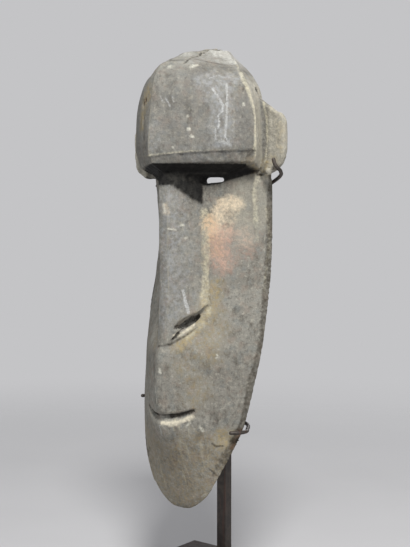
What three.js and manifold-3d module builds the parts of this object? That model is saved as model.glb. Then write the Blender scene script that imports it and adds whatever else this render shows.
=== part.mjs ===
// A carved wooden face mask held upright by two bent wire cradles on a square post with a block foot.
// Millimetres, +Z up. The mask looks along -Y. The origin is the centre of the foot's underside.
import * as THREE from 'three';
import { mergeVertices } from 'three/addons/utils/BufferGeometryUtils.js';
import Module from 'manifold-3d';

// Foot and post
const FOOT_WIDTH = 150;
const FOOT_DEPTH = 150;
const FOOT_HEIGHT = 18;
const FOOT_BEVEL = 2;
const POST_SIDE = 12;
const POST_BEHIND_CENTRE = 35;
const POST_TOP = 424;
const POST_BEVEL = 0.6;
const TOUCH_GAP = 0.3;
const MERGE_DISTANCE = 1e-5;

// Cradle wires
const WIRE_DIAMETER = 4;
const WIRE_SIDES = 8;
const UPPER_WIRE_STEPS = 84;
const LOWER_WIRE_STEPS = 76;
const UPPER_WIRE_HEIGHT = 414;
const LOWER_WIRE_HEIGHT = 182;

// Mask as a whole. Forward distances are measured from the plane of the upper rim.
const RIM_BEHIND_CENTRE = 15;
const SECTION_STEPS = 9;
const FLANK_STEPS = 3;
const BACK_REACH = 14;

// Face, from the chin's tip to the brow. Each row: height, crest forward, swell of the cheek,
// arris half width, arris forward, rim half width, rim forward.
const FACE_ROWS = [
  [94.5, 57.8, 0.2, 4, 57.2, 5, 56.8],
  [97, 59, 0.4, 11, 57.8, 13, 56.8],
  [104, 60.5, 0.8, 20.5, 58, 24, 57],
  [115, 62.8, 1.5, 31, 58, 35.5, 56],
  [130, 66.5, 2.5, 40, 56.5, 45, 53.5],
  [145, 71.5, 3.5, 48, 54, 53, 50.3],
  [160, 78, 4, 54.5, 50.5, 59.5, 45.8],
  [184, 91, 4, 63, 43.5, 67.5, 38],
  [203, 94.5, 4, 67, 39, 71.2, 34],
  [235, 95.5, 4, 71, 32, 75.5, 27],
  [258, 95, 4, 73.5, 28, 78, 21.5],
  [272, 89, 4, 74, 26.5, 79, 18.5],
  [290, 75, 3, 73.5, 24.5, 79.8, 15.5],
  [310, 69, 2, 72, 21.5, 80.4, 12],
  [340, 67, 1.5, 68.5, 18, 79.3, 5],
  [380, 66, 1.5, 65.5, 16, 77, -1.5],
  [420, 66, 1.5, 66.5, 17, 76.3, -2.5],
  [452, 66, 1.5, 69, 19, 76, -2.5],
];
const FACE_LEVELS = 27;

// Brow, from its overhanging underside to the top of the head, rows as for the face.
const BROW_ROWS = [
  [456, 103.5, 2, 77.5, 33.5, 68, -2.5],
  [463, 107.2, 4, 81.5, 34.5, 68.5, -2.5],
  [473, 107.7, 5, 82.3, 35, 69, -2],
  [488, 107.2, 6, 82.3, 35.2, 69, -1.5],
  [504, 105.2, 7, 81, 35.5, 69, -0.8],
  [520, 102.8, 8, 78, 36, 68, 0.5],
  [536, 100, 9, 71.5, 35, 64, 1.5],
  [545, 97.3, 9, 66, 32.5, 60, 2.5],
  [552, 93, 9, 60, 29.5, 55.5, 3],
  [558, 87.5, 9, 54.5, 26.5, 50.5, 3.5],
  [563, 81, 9, 49, 23.5, 46, 4],
  [568, 70.5, 8, 43, 20.5, 41, 4.5],
  [574, 56, 7, 36, 16.5, 34.5, 5],
  [580, 38, 5, 28, 12, 27, 5],
  [584, 22, 3, 18, 8.5, 17.5, 5],
  [586.5, 12, 1, 9, 7, 8.5, 5],
];
const UNDERSIDE_FALL = 13;
const UNDERSIDE_FALL_END = 488;
const UNDERSIDE_SINK = 24;

// Nose, a long blade with a narrow worn front. Rows: height, front half width, front forward,
// base half width, base forward.
const NOSE_ROWS = [
  [272, 7, 87, 33, 53],
  [300, 7, 85, 31, 51],
  [345, 7, 84, 27.5, 49],
  [380, 7, 84, 27, 48.5],
  [420, 7, 84, 27, 48.5],
  [464, 7, 86, 27, 49],
];
const NOSE_BACK = 41;
const NOSE_FLANK_SWELL = 1.5;
const NOSE_FRONT_SWELL = 0.8;
const NOSE_WING_RISE = 40;
const NOSE_WING_RISE_END = 345;

// Hollow at the back, following the outside with a carved wall
const FACE_HOLLOW_ROWS = [
  [124, 57.5, 1, 18, 54, 20, 52],
  [135, 60, 1.5, 32, 50, 36, 46],
  [160, 67, 2.5, 46, 43.5, 51, 42],
  [184, 77, 3, 54, 35.5, 59.5, 35],
  [203, 80.5, 3, 57.5, 31, 63, 31],
  [235, 81.5, 3, 61, 24.5, 67, 24.5],
  [258, 80.5, 3, 63.5, 20, 69.5, 19],
  [272, 75, 3, 64, 18.5, 70.3, 16],
  [290, 63, 2, 64, 16.5, 71, 13],
  [310, 57, 1.5, 63, 13.5, 71.5, 9.5],
  [340, 55, 1, 60.5, 10, 70.5, 4],
  [380, 54, 1, 58.5, 8.5, 68.5, -1],
  [420, 54, 1, 59, 9, 68, -1.5],
  [455, 53, 1, 60, 10, 66, -1.5],
  [510, 48, 2, 62, 14, 59, -1.5],
  [540, 42, 2, 54, 12, 51, -1.5],
  [560, 32, 2, 38, 10, 36, -1.5],
];
const BROW_HOLLOW_ROWS = [
  [468, 90, 2, 68, 22, 58, 6],
  [500, 90, 4, 68, 22, 58, 6],
  [520, 86, 5, 65, 22, 56, 6],
  [540, 76, 5, 55, 20, 50, 6],
  [552, 60, 4, 45, 18, 42, 6],
  [560, 44, 2, 36, 14, 34, 6],
];
const HOLLOW_LEVELS = 16;

// Ears, flat slabs at the sides of the brow
const EAR_ROOT = 64;
const EAR_REACH = 103;
const EAR_TOP = 526;
const EAR_SHOULDER = 509;
const EAR_BOTTOM = 448;
const EAR_BACK = 8.5;
const EAR_THICKNESS = 7.5;
const EAR_BEVEL = 1.5;
const EAR_CURVE_STEPS = 5;
const EAR_LOWER_CURVE_WIDTH = 21;
const EAR_LOWER_CURVE_HEIGHT = 28;
const EAR_CURVE_LIFT = 4;
const EAR_UPPER_CURVE_WIDTH = 14;
const EAR_UPPER_CURVE_HEIGHT = 16;
const EAR_TOP_WIDTH = 8;

// Knob below each ear
const KNOB_OUT = 82.5;
const KNOB_HEIGHT_LEFT = 450;
const KNOB_HEIGHT_RIGHT = 454;
const KNOB_RADIUS = 4.5;
const KNOB_FORWARD = 15;
const KNOB_SIDES = 12;
const KNOB_BANDS = 8;

// Eye slits between the cheeks and the brow's underside
const SLIT_INNER = 23.5;
const SLIT_OUTER = 46;
const SLIT_INNER_FLOOR = 436;
const SLIT_OUTER_FLOOR = 442;
const SLIT_ROOF = 446;
const SLIT_FRONT = 80;
const SLIT_BACK = -6;

// Nostrils, slanting slots under the wings of the nose
const NOSTRIL_INNER = 11.5;
const NOSTRIL_OUTER = 26;
const NOSTRIL_INNER_HEIGHT = 289;
const NOSTRIL_OUTER_HEIGHT = 305;
const NOSTRIL_OPENING = 5;
const NOSTRIL_DEPTH = 9;

// Mouth, a crescent notch with its ends turned up
const MOUTH_HALF_WIDTH = 36;
const MOUTH_HEIGHT = 199.5;
const MOUTH_END_RISE = 7;
const MOUTH_UPPER_LIP = 2.5;
const MOUTH_LOWER_LIP = 8.5;
const MOUTH_DEPTH = 9;
const MOUTH_END_SHALLOWER = 0.75;
const MOUTH_END_NARROWER = 0.5;
const MOUTH_STEPS = 12;
const CUT_CLEARANCE = 12;

// Tying holes through the flanks of the brow
const TIE_HOLE_RADIUS = 3;
const TIE_HOLE_FORWARD = 13;
const TIE_HOLE_HEIGHT = 534;
const TIE_HOLE_OUT = 70;
const TIE_HOLE_LENGTH = 60;
const TIE_HOLE_SIDES = 10;

const wasm = await Module();
wasm.setup();

// A watertight solid from any closed geometry
function toSolid(geometry) {
  const bare = geometry.clone();
  bare.deleteAttribute('normal');
  bare.deleteAttribute('uv');
  const merged = mergeVertices(bare, MERGE_DISTANCE);
  return new wasm.Manifold(new wasm.Mesh({
    numProp: 3,
    vertProperties: merged.attributes.position.array,
    triVerts: Uint32Array.from(merged.index.array),
  }));
}

function toGeometry(solid) {
  const mesh = solid.getMesh();
  const geometry = new THREE.BufferGeometry();
  geometry.setAttribute('position', new THREE.BufferAttribute(mesh.vertProperties, 3));
  geometry.setIndex(new THREE.BufferAttribute(mesh.triVerts, 1));
  geometry.computeVertexNormals();
  return geometry;
}

// Skin over closed rings of points, all of one length, listed from the bottom up and each
// running counter-clockwise seen from above
function skinGeometry(rings, bottomSink = 0) {
  const count = rings[0].length;
  const centres = [rings[0], rings[rings.length - 1]].map((ring) => ring
    .reduce((sum, point) => sum.add(point), new THREE.Vector3())
    .multiplyScalar(1 / count));
  centres[0].z -= bottomSink;
  const points = rings.flat().concat(centres);
  const bottomCentre = points.length - 2;
  const topCentre = points.length - 1;
  const topStart = (rings.length - 1) * count;
  const index = [];
  for (let side = 0; side < count; side += 1) {
    const next = (side + 1) % count;
    for (let level = 0; level < rings.length - 1; level += 1) {
      const low = level * count;
      const high = low + count;
      index.push(low + side, low + next, high + next, low + side, high + next, high + side);
    }
    index.push(bottomCentre, next, side, topCentre, topStart + side, topStart + next);
  }
  const geometry = new THREE.BufferGeometry().setFromPoints(points);
  geometry.setIndex(index);
  return geometry;
}

// A smooth reading of a table of rows at any height
function rowReader(rows) {
  const width = rows[0].length - 1;
  const heights = rows.map((row) => row[0]);
  const values = rows.flatMap((row) => row.slice(1));
  const curve = new THREE.CubicInterpolant(heights, values, width);
  return (height) => Array.from(curve.evaluate(height));
}

const forward = (distance) => RIM_BEHIND_CENTRE - distance;

// How far forward a cheek stands at a part of the way from the crest to the arris
function cheekForward([crest, swell, , arrisForward], part) {
  return THREE.MathUtils.lerp(crest, arrisForward, part) + swell * 4 * part * (1 - part);
}

// Half of a plan section, from the crest on the middle plane round to the rim
function halfSection(row) {
  const [, , arrisOut, arrisForward, rimOut, rimForward] = row;
  const points = [];
  for (let step = 0; step <= SECTION_STEPS; step += 1) {
    const part = step / SECTION_STEPS;
    points.push([part * arrisOut, cheekForward(row, part)]);
  }
  for (let step = 1; step <= FLANK_STEPS; step += 1) {
    const part = step / FLANK_STEPS;
    points.push([
      THREE.MathUtils.lerp(arrisOut, rimOut, part),
      THREE.MathUtils.lerp(arrisForward, rimForward, part),
    ]);
  }
  return points;
}

// The full ring of a section: left half from the rim to the crest, then the right half
function sectionRing(row, height, backReach, rimFall) {
  const half = halfSection(row);
  const rim = half[half.length - 1];
  const arrisForward = row[3];
  const ends = backReach > 0 ? [[rim[0], rim[1] - backReach]] : [];
  const right = half.concat(ends);
  const left = right.slice(1).reverse().map(([out, ahead]) => [-out, ahead]);
  return left.concat(right).map(([out, ahead]) => new THREE.Vector3(
    out,
    forward(ahead),
    height - rimFall * Math.max(0, arrisForward - ahead) / arrisForward,
  ));
}

// A carved volume: the smooth skin over a table of rows, evenly spread over its rows
function carvedVolume(rows, levels, backReach = 0, fallAt = () => 0, bottomSink = 0) {
  const read = rowReader(rows);
  const rings = [];
  for (let level = 0; level < levels; level += 1) {
    const place = (level / (levels - 1)) * (rows.length - 1);
    const lower = Math.min(Math.floor(place), rows.length - 2);
    const height = THREE.MathUtils.lerp(rows[lower][0], rows[lower + 1][0], place - lower);
    rings.push(sectionRing(read(height), height, backReach, fallAt(height)));
  }
  return toSolid(skinGeometry(rings, bottomSink));
}

// The edge of the brow's underside falls along the flanks, and the fall dies out higher up
function browFall(height) {
  const bottom = BROW_ROWS[0][0];
  const part = (UNDERSIDE_FALL_END - height) / (UNDERSIDE_FALL_END - bottom);
  return UNDERSIDE_FALL * Math.max(0, part);
}

function noseVolume() {
  const bottom = NOSE_ROWS[0][0];
  const rings = NOSE_ROWS.map(([height, frontOut, frontAhead, baseOut, baseAhead]) => {
    const fade = Math.max(0, (NOSE_WING_RISE_END - height) / (NOSE_WING_RISE_END - bottom));
    const wing = height + NOSE_WING_RISE * fade;
    const middle = [(frontOut + baseOut) / 2, (frontAhead + baseAhead) / 2 + NOSE_FLANK_SWELL];
    const middleHeight = (height + wing) / 2;
    const half = [
      [0, frontAhead + NOSE_FRONT_SWELL, height],
      [frontOut, frontAhead, height],
      [middle[0], middle[1], middleHeight],
      [baseOut, baseAhead, wing],
      [baseOut, NOSE_BACK, wing],
      [0, NOSE_BACK, height],
    ];
    const left = half.slice(1, -1).reverse().map(([out, ahead, up]) => [-out, ahead, up]);
    return left.concat(half).map(([out, ahead, up]) => new THREE.Vector3(out, forward(ahead), up));
  });
  return toSolid(skinGeometry(rings));
}

// One ear; side is 1 for the mask's left and -1 for its right
function earVolume(side) {
  const root = side * EAR_ROOT;
  const edge = side * EAR_REACH;
  const shoulder = edge - side * EAR_UPPER_CURVE_WIDTH;
  const outline = new THREE.Shape();
  outline.moveTo(root, EAR_BOTTOM);
  outline.lineTo(edge - side * EAR_LOWER_CURVE_WIDTH, EAR_BOTTOM);
  outline.quadraticCurveTo(
    edge,
    EAR_BOTTOM + EAR_CURVE_LIFT,
    edge,
    EAR_BOTTOM + EAR_LOWER_CURVE_HEIGHT,
  );
  outline.lineTo(edge, EAR_SHOULDER - EAR_UPPER_CURVE_HEIGHT);
  outline.quadraticCurveTo(edge, EAR_SHOULDER, shoulder, EAR_SHOULDER + EAR_CURVE_LIFT);
  outline.lineTo(root + side * EAR_TOP_WIDTH, EAR_TOP);
  outline.lineTo(root, EAR_TOP);
  outline.closePath();
  const geometry = new THREE.ExtrudeGeometry(outline, {
    depth: EAR_THICKNESS - 2 * EAR_BEVEL,
    bevelThickness: EAR_BEVEL,
    bevelSize: EAR_BEVEL,
    bevelOffset: -EAR_BEVEL,
    bevelSegments: 1,
    curveSegments: EAR_CURVE_STEPS,
  });
  geometry.rotateX(Math.PI / 2);
  geometry.translate(0, forward(EAR_BACK + EAR_BEVEL), 0);
  return toSolid(geometry);
}

function knobVolume(side) {
  const height = side > 0 ? KNOB_HEIGHT_LEFT : KNOB_HEIGHT_RIGHT;
  const geometry = new THREE.SphereGeometry(KNOB_RADIUS, KNOB_SIDES, KNOB_BANDS);
  geometry.translate(side * KNOB_OUT, forward(KNOB_FORWARD), height);
  return toSolid(geometry);
}

// A closed prism between two outlines of points [x, ahead, up], the first at the lower end
function prismBetween(lower, upper) {
  const ring = (points) => points.map(([out, ahead, up]) => new THREE.Vector3(out, forward(ahead), up));
  return toSolid(skinGeometry([ring(lower), ring(upper)]));
}

function eyeSlitCutter(side) {
  const ends = side > 0 ? [SLIT_INNER, SLIT_OUTER] : [-SLIT_OUTER, -SLIT_INNER];
  const floorAt = (out) => (Math.abs(out) === SLIT_INNER ? SLIT_INNER_FLOOR : SLIT_OUTER_FLOOR);
  const corners = [
    [ends[0], SLIT_FRONT],
    [ends[1], SLIT_FRONT],
    [ends[1], SLIT_BACK],
    [ends[0], SLIT_BACK],
  ];
  const lower = corners.map(([out, ahead]) => [out, ahead, floorAt(out)]);
  const upper = corners.map(([out, ahead]) => [out, ahead, SLIT_ROOF]);
  return prismBetween(lower, upper);
}

// A slot whose length slants up and outwards and whose depth goes straight into the nose's flank
function nostrilCutter(side) {
  const width = NOSTRIL_OUTER - NOSTRIL_INNER;
  const rise = NOSTRIL_OUTER_HEIGHT - NOSTRIL_INNER_HEIGHT;
  const [, frontOut, frontAhead, baseOut, baseAhead] = NOSE_ROWS[1];
  const flankSlope = (frontAhead - baseAhead) / (baseOut - frontOut);
  const middle = NOSTRIL_INNER + width / 2;
  const geometry = new THREE.BoxGeometry(Math.hypot(width, rise), NOSTRIL_DEPTH * 2, NOSTRIL_OPENING);
  geometry.rotateY(-side * Math.atan2(rise, width));
  geometry.rotateZ(side * Math.atan(flankSlope));
  geometry.translate(
    side * middle,
    forward(frontAhead - flankSlope * (middle - frontOut)),
    NOSTRIL_INNER_HEIGHT + rise / 2,
  );
  return toSolid(geometry);
}

// The mouth's cutter is a wedge swept across the face along its crescent
function mouthCutter() {
  const row = rowReader(FACE_ROWS)(MOUTH_HEIGHT);
  const arrisOut = row[2];
  const rings = [];
  for (let step = 0; step <= MOUTH_STEPS; step += 1) {
    const across = (step / MOUTH_STEPS) * 2 - 1;
    const out = across * MOUTH_HALF_WIDTH;
    const height = MOUTH_HEIGHT + MOUTH_END_RISE * across * across;
    const depth = MOUTH_DEPTH * (1 - MOUTH_END_SHALLOWER * across * across);
    const open = 1 - MOUTH_END_NARROWER * across * across;
    const skin = cheekForward(row, Math.abs(out) / arrisOut);
    const spread = (depth + CUT_CLEARANCE) / depth;
    rings.push([
      new THREE.Vector3(out, forward(skin - depth), height),
      new THREE.Vector3(out, forward(skin + CUT_CLEARANCE), height + MOUTH_UPPER_LIP * spread * open),
      new THREE.Vector3(out, forward(skin + CUT_CLEARANCE), height - MOUTH_LOWER_LIP * spread * open),
    ]);
  }
  return toSolid(skinGeometry(rings));
}

function tieHoleCutter(side) {
  const geometry = new THREE.CylinderGeometry(
    TIE_HOLE_RADIUS,
    TIE_HOLE_RADIUS,
    TIE_HOLE_LENGTH,
    TIE_HOLE_SIDES,
  );
  geometry.rotateZ(Math.PI / 2);
  geometry.translate(side * TIE_HOLE_OUT, forward(TIE_HOLE_FORWARD), TIE_HOLE_HEIGHT);
  return toSolid(geometry);
}

function maskGeometry() {
  const outside = carvedVolume(FACE_ROWS, FACE_LEVELS)
    .add(carvedVolume(BROW_ROWS, BROW_ROWS.length, 0, browFall, UNDERSIDE_SINK))
    .add(noseVolume())
    .add(earVolume(-1))
    .add(earVolume(1))
    .add(knobVolume(-1))
    .add(knobVolume(1));
  const hollow = carvedVolume(FACE_HOLLOW_ROWS, HOLLOW_LEVELS, BACK_REACH)
    .add(carvedVolume(BROW_HOLLOW_ROWS, BROW_HOLLOW_ROWS.length, BACK_REACH));
  let mask = outside.subtract(hollow);
  for (const side of [-1, 1]) {
    mask = mask.subtract(eyeSlitCutter(side)).subtract(nostrilCutter(side)).subtract(tieHoleCutter(side));
  }
  return toGeometry(mask.subtract(mouthCutter()));
}

// A round wire along a smooth path through points [x, forward of the rim plane, height]
function wireGeometry(stops, steps) {
  const path = new THREE.CatmullRomCurve3(
    stops.map(([out, ahead, up]) => new THREE.Vector3(out, forward(ahead), up)),
    false,
    'centripetal',
  );
  const section = new THREE.Shape();
  for (let side = 0; side < WIRE_SIDES; side += 1) {
    const angle = (side / WIRE_SIDES) * 2 * Math.PI;
    const x = Math.cos(angle) * WIRE_DIAMETER / 2;
    const y = Math.sin(angle) * WIRE_DIAMETER / 2;
    if (side === 0) section.moveTo(x, y);
    else section.lineTo(x, y);
  }
  section.closePath();
  return new THREE.ExtrudeGeometry(section, { steps, extrudePath: path, bevelEnabled: false });
}

const WIRE_FROM_POST = POST_SIDE / 2 + WIRE_DIAMETER / 2 + TOUCH_GAP;
const WIRE_AT_POST = RIM_BEHIND_CENTRE - POST_BEHIND_CENTRE + WIRE_FROM_POST;

// From the post outwards: the near hook, on the mask's left, turns up in front of the ear
// and the far one closes round the rim below the other ear
const UPPER_NEAR_HOOK = [
  [30, WIRE_AT_POST + 0.5, 419],
  [58, WIRE_AT_POST + 1, 434],
  [77, -9.5, 443.5],
  [87.5, -1.5, 447.3],
  [93, 7, 449],
  [96, 13.5, 451],
  [96.2, 18.5, 453],
  [94.5, 20.8, 457],
  [93, 21, 463],
];
const UPPER_FAR_HOOK = [
  [-30, WIRE_AT_POST + 0.5, 419],
  [-56, WIRE_AT_POST + 1, 430],
  [-70, -10, 436.5],
  [-77.2, -6, 439.5],
  [-79, -1.5, 440.5],
  [-76.8, 4.5, 441],
  [-75.8, 7, 441],
];
// The lower wire's hooks close round the rim of the jaw, the far one higher and shorter
const LOWER_NEAR_HOOK = [
  [26, WIRE_AT_POST + 1, 182],
  [50, 5, 182],
  [64, 25, 182],
  [69.8, 35, 182],
  [69.6, 42, 182],
  [66, 48.3, 182],
  [61, 53, 182],
];
const LOWER_FAR_HOOK = [
  [-26, WIRE_AT_POST + 1, 188],
  [-50, 3, 198],
  [-66, 19, 203],
  [-72.8, 29.5, 204.5],
  [-73.6, 36.5, 205],
];

function wirePath(farHook, middleHeight, nearHook) {
  return [...farHook].reverse().concat([[0, WIRE_AT_POST, middleHeight]], nearHook);
}

function footGeometry() {
  const corners = [[1, -1], [1, 1], [-1, 1], [-1, -1]];
  const ringAt = (inset, height) => corners.map(([x, y]) => new THREE.Vector3(
    x * (FOOT_WIDTH / 2 - inset),
    y * (FOOT_DEPTH / 2 - inset),
    height,
  ));
  const shoulder = FOOT_HEIGHT - FOOT_BEVEL;
  return skinGeometry([ringAt(0, 0), ringAt(0, shoulder), ringAt(FOOT_BEVEL, FOOT_HEIGHT)]);
}

function postGeometry() {
  const corner = POST_SIDE / 2;
  const low = -corner + POST_BEVEL;
  const high = corner - POST_BEVEL;
  const section = new THREE.Shape([
    new THREE.Vector2(low, -corner),
    new THREE.Vector2(high, -corner),
    new THREE.Vector2(corner, low),
    new THREE.Vector2(corner, high),
    new THREE.Vector2(high, corner),
    new THREE.Vector2(low, corner),
    new THREE.Vector2(-corner, high),
    new THREE.Vector2(-corner, low),
  ]);
  const bottom = FOOT_HEIGHT + TOUCH_GAP;
  return new THREE.ExtrudeGeometry(section, { depth: POST_TOP - bottom, bevelEnabled: false })
    .translate(0, POST_BEHIND_CENTRE, bottom);
}

const wood = new THREE.MeshStandardMaterial({ color: 0x857f72, roughness: 0.82, metalness: 0 });
const darkSteel = new THREE.MeshStandardMaterial({ color: 0x3a3531, roughness: 0.55, metalness: 0.8 });
const darkFoot = new THREE.MeshStandardMaterial({ color: 0x3b2f2b, roughness: 0.6, metalness: 0.4 });

const maskOnStand = new THREE.Group();

function addPiece(name, geometry, material) {
  const mesh = new THREE.Mesh(geometry, material);
  mesh.name = name;
  maskOnStand.add(mesh);
}

addPiece('wooden_mask', maskGeometry(), wood);
addPiece('stand_foot', footGeometry(), darkFoot);
addPiece('stand_post', postGeometry(), darkSteel);
addPiece('upper_cradle_rod', wireGeometry(
  wirePath(UPPER_FAR_HOOK, UPPER_WIRE_HEIGHT, UPPER_NEAR_HOOK),
  UPPER_WIRE_STEPS,
), darkSteel);
addPiece('lower_cradle_rod', wireGeometry(
  wirePath(LOWER_FAR_HOOK, LOWER_WIRE_HEIGHT, LOWER_NEAR_HOOK),
  LOWER_WIRE_STEPS,
), darkSteel);

export default maskOnStand;
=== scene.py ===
import math
import random

import bpy
import numpy as np
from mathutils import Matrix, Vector
from mathutils.bvhtree import BVHTree
from mathutils.kdtree import KDTree


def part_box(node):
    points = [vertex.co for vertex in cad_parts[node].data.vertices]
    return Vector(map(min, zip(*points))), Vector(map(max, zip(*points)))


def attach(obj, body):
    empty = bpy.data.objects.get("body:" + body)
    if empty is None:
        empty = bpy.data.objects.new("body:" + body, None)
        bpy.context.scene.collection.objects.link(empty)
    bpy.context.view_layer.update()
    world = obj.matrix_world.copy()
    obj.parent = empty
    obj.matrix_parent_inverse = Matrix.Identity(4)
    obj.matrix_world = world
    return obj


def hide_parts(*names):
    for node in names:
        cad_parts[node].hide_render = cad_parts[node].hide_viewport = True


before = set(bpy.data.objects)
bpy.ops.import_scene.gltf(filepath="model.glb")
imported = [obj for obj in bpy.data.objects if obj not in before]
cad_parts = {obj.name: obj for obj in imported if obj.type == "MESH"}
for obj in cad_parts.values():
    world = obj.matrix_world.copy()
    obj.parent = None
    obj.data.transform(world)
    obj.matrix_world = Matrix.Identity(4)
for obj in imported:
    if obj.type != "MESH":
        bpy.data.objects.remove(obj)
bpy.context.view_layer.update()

MM = 0.001
BODY = "root"
FOOT_FINISH = "dark_stained_foot"
STEEL = "blackened_steel"

# Camera: the mask seen from its own left, a little from above
VIEW_AZIMUTH = 38.0
VIEW_ELEVATION = 2.0
VIEW_TARGET = Vector((0.0, 0.0, 0.343))
VIEW_DISTANCE = 1.05
LENS = 63.6
SENSOR = 36.0
NEAREST_SEEN = 0.05


def aimed_object(name, data, place, target):
    """A camera or a lamp at a place, turned to its target."""
    made = bpy.data.objects.new(name, data)
    made.location = place
    made.rotation_euler = (target - place).to_track_quat("-Z", "Y").to_euler()
    bpy.context.scene.collection.objects.link(made)
    return made


def standing_at(azimuth, away, height):
    """A place round the part: degrees from the front, distance from the middle, and height."""
    angle = math.radians(azimuth)
    return Vector((math.sin(angle) * away, -math.cos(angle) * away, height))


def add_camera():
    elevation = math.radians(VIEW_ELEVATION)
    direction = standing_at(VIEW_AZIMUTH, math.cos(elevation), math.sin(elevation))
    data = bpy.data.cameras.new("Portrait camera")
    data.lens = LENS
    data.sensor_width = SENSOR
    data.clip_start = NEAREST_SEEN
    place = VIEW_TARGET + direction * VIEW_DISTANCE
    bpy.context.scene.camera = aimed_object("Portrait camera", data, place, VIEW_TARGET)


add_camera()


# Driving sizes of the mask, in millimetres. Forward distances are measured from the upper rim.
RIM_BEHIND_CENTRE = 15.0
# Face rows: height, crest forward, swell of the cheek, arris half width, arris forward,
# rim half width, rim forward
FACE_ROWS = [
    [94.5, 57.8, 0.2, 4, 57.2, 5, 56.8],
    [97, 59, 0.4, 11, 57.8, 13, 56.8],
    [104, 60.5, 0.8, 20.5, 58, 24, 57],
    [115, 62.8, 1.5, 31, 58, 35.5, 56],
    [130, 66.5, 2.5, 40, 56.5, 45, 53.5],
    [145, 71.5, 3.5, 48, 54, 53, 50.3],
    [160, 78, 4, 54.5, 50.5, 59.5, 45.8],
    [184, 91, 4, 63, 43.5, 67.5, 38],
    [203, 94.5, 4, 67, 39, 71.2, 34],
    [235, 95.5, 4, 71, 32, 75.5, 27],
    [258, 95, 4, 73.5, 28, 78, 21.5],
    [272, 89, 4, 74, 26.5, 79, 18.5],
    [290, 75, 3, 73.5, 24.5, 79.8, 15.5],
    [310, 69, 2, 72, 21.5, 80.4, 12],
    [340, 67, 1.5, 68.5, 18, 79.3, 5],
    [380, 66, 1.5, 65.5, 16, 77, -1.5],
    [420, 66, 1.5, 66.5, 17, 76.3, -2.5],
    [452, 66, 1.5, 69, 19, 76, -2.5],
]
BROW_ROWS = [
    [456, 103.5, 2, 77.5, 33.5, 68, -2.5],
    [463, 107.2, 4, 81.5, 34.5, 68.5, -2.5],
    [473, 107.7, 5, 82.3, 35, 69, -2],
    [488, 107.2, 6, 82.3, 35.2, 69, -1.5],
    [504, 105.2, 7, 81, 35.5, 69, -0.8],
    [520, 102.8, 8, 78, 36, 68, 0.5],
    [536, 100, 9, 71.5, 35, 64, 1.5],
    [545, 97.3, 9, 66, 32.5, 60, 2.5],
    [552, 93, 9, 60, 29.5, 55.5, 3],
    [558, 87.5, 9, 54.5, 26.5, 50.5, 3.5],
    [563, 81, 9, 49, 23.5, 46, 4],
    [568, 70.5, 8, 43, 20.5, 41, 4.5],
    [574, 56, 7, 36, 16.5, 34.5, 5],
    [580, 38, 5, 28, 12, 27, 5],
    [584, 22, 3, 18, 8.5, 17.5, 5],
    [586.5, 12, 1, 9, 7, 8.5, 5],
]
UNDERSIDE_FALL = 13.0
UNDERSIDE_FALL_END = 488.0
UNDERSIDE_SINK = 24.0
# Nose rows: height, front half width, front forward, base half width, base forward
NOSE_ROWS = [
    [272, 7, 87, 33, 53],
    [300, 7, 85, 31, 51],
    [345, 7, 84, 27.5, 49],
    [380, 7, 84, 27, 48.5],
    [420, 7, 84, 27, 48.5],
    [464, 7, 86, 27, 49],
]
NOSE_BACK = 41.0
NOSE_WING_RISE = 40.0
NOSE_WING_RISE_END = 345.0
NOSE_LEVEL_STEP = 4.0
NOSE_FLANK_STEPS = 10
NOSE_FLANK_SWELL = 1.5
NOSE_KEEL = 0.8
NOSE_KEEL_SHOULDER = (0.6, 0.6)
FACE_HOLLOW_ROWS = [
    [124, 57.5, 1, 18, 54, 20, 52],
    [135, 60, 1.5, 32, 50, 36, 46],
    [160, 67, 2.5, 46, 43.5, 51, 42],
    [184, 77, 3, 54, 35.5, 59.5, 35],
    [203, 80.5, 3, 57.5, 31, 63, 31],
    [235, 81.5, 3, 61, 24.5, 67, 24.5],
    [258, 80.5, 3, 63.5, 20, 69.5, 19],
    [272, 75, 3, 64, 18.5, 70.3, 16],
    [290, 63, 2, 64, 16.5, 71, 13],
    [310, 57, 1.5, 63, 13.5, 71.5, 9.5],
    [340, 55, 1, 60.5, 10, 70.5, 4],
    [380, 54, 1, 58.5, 8.5, 68.5, -1],
    [420, 54, 1, 59, 9, 68, -1.5],
    [455, 53, 1, 60, 10, 66, -1.5],
    [510, 48, 2, 62, 14, 59, -1.5],
    [540, 42, 2, 54, 12, 51, -1.5],
    [560, 32, 2, 38, 10, 36, -1.5],
]
BROW_HOLLOW_ROWS = [
    [468, 90, 2, 68, 22, 58, 6],
    [500, 90, 4, 68, 22, 58, 6],
    [520, 86, 5, 65, 22, 56, 6],
    [540, 76, 5, 55, 20, 50, 6],
    [552, 60, 4, 45, 18, 42, 6],
    [560, 44, 2, 36, 14, 34, 6],
]
HOLLOW_BACK_REACH = 14.0

EAR_ROOT = 64.0
EAR_REACH = 103.0
EAR_TOP = 526.0
EAR_SHOULDER = 509.0
EAR_BOTTOM = 448.0
EAR_BACK = 8.5
EAR_THICKNESS = 7.5
EAR_LOWER_CURVE = (21.0, 28.0)
EAR_UPPER_CURVE = (14.0, 16.0)
EAR_CURVE_LIFT = 4.0
EAR_TOP_WIDTH = 8.0
EAR_ROUNDING = 1.2
KNOB_OUT = 82.5
KNOB_HEIGHTS = {1: 450.0, -1: 454.0}
KNOB_RADIUS = 4.5
KNOB_FORWARD = 15.0
KNOB_SIDES = 16
KNOB_LEVELS = 9
KNOB_CAP = 0.95

LEVEL_STEP = 2.5
SECTION_STEPS = 22
FLANK_STEPS = 7
CURVE_STEPS = 14
VOXEL = 1.5
LATTICE_SIDE = 32
KEPT_SHARE = 0.70
OCTAVE_SHIFT = 7.3


# Number tools

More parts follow.
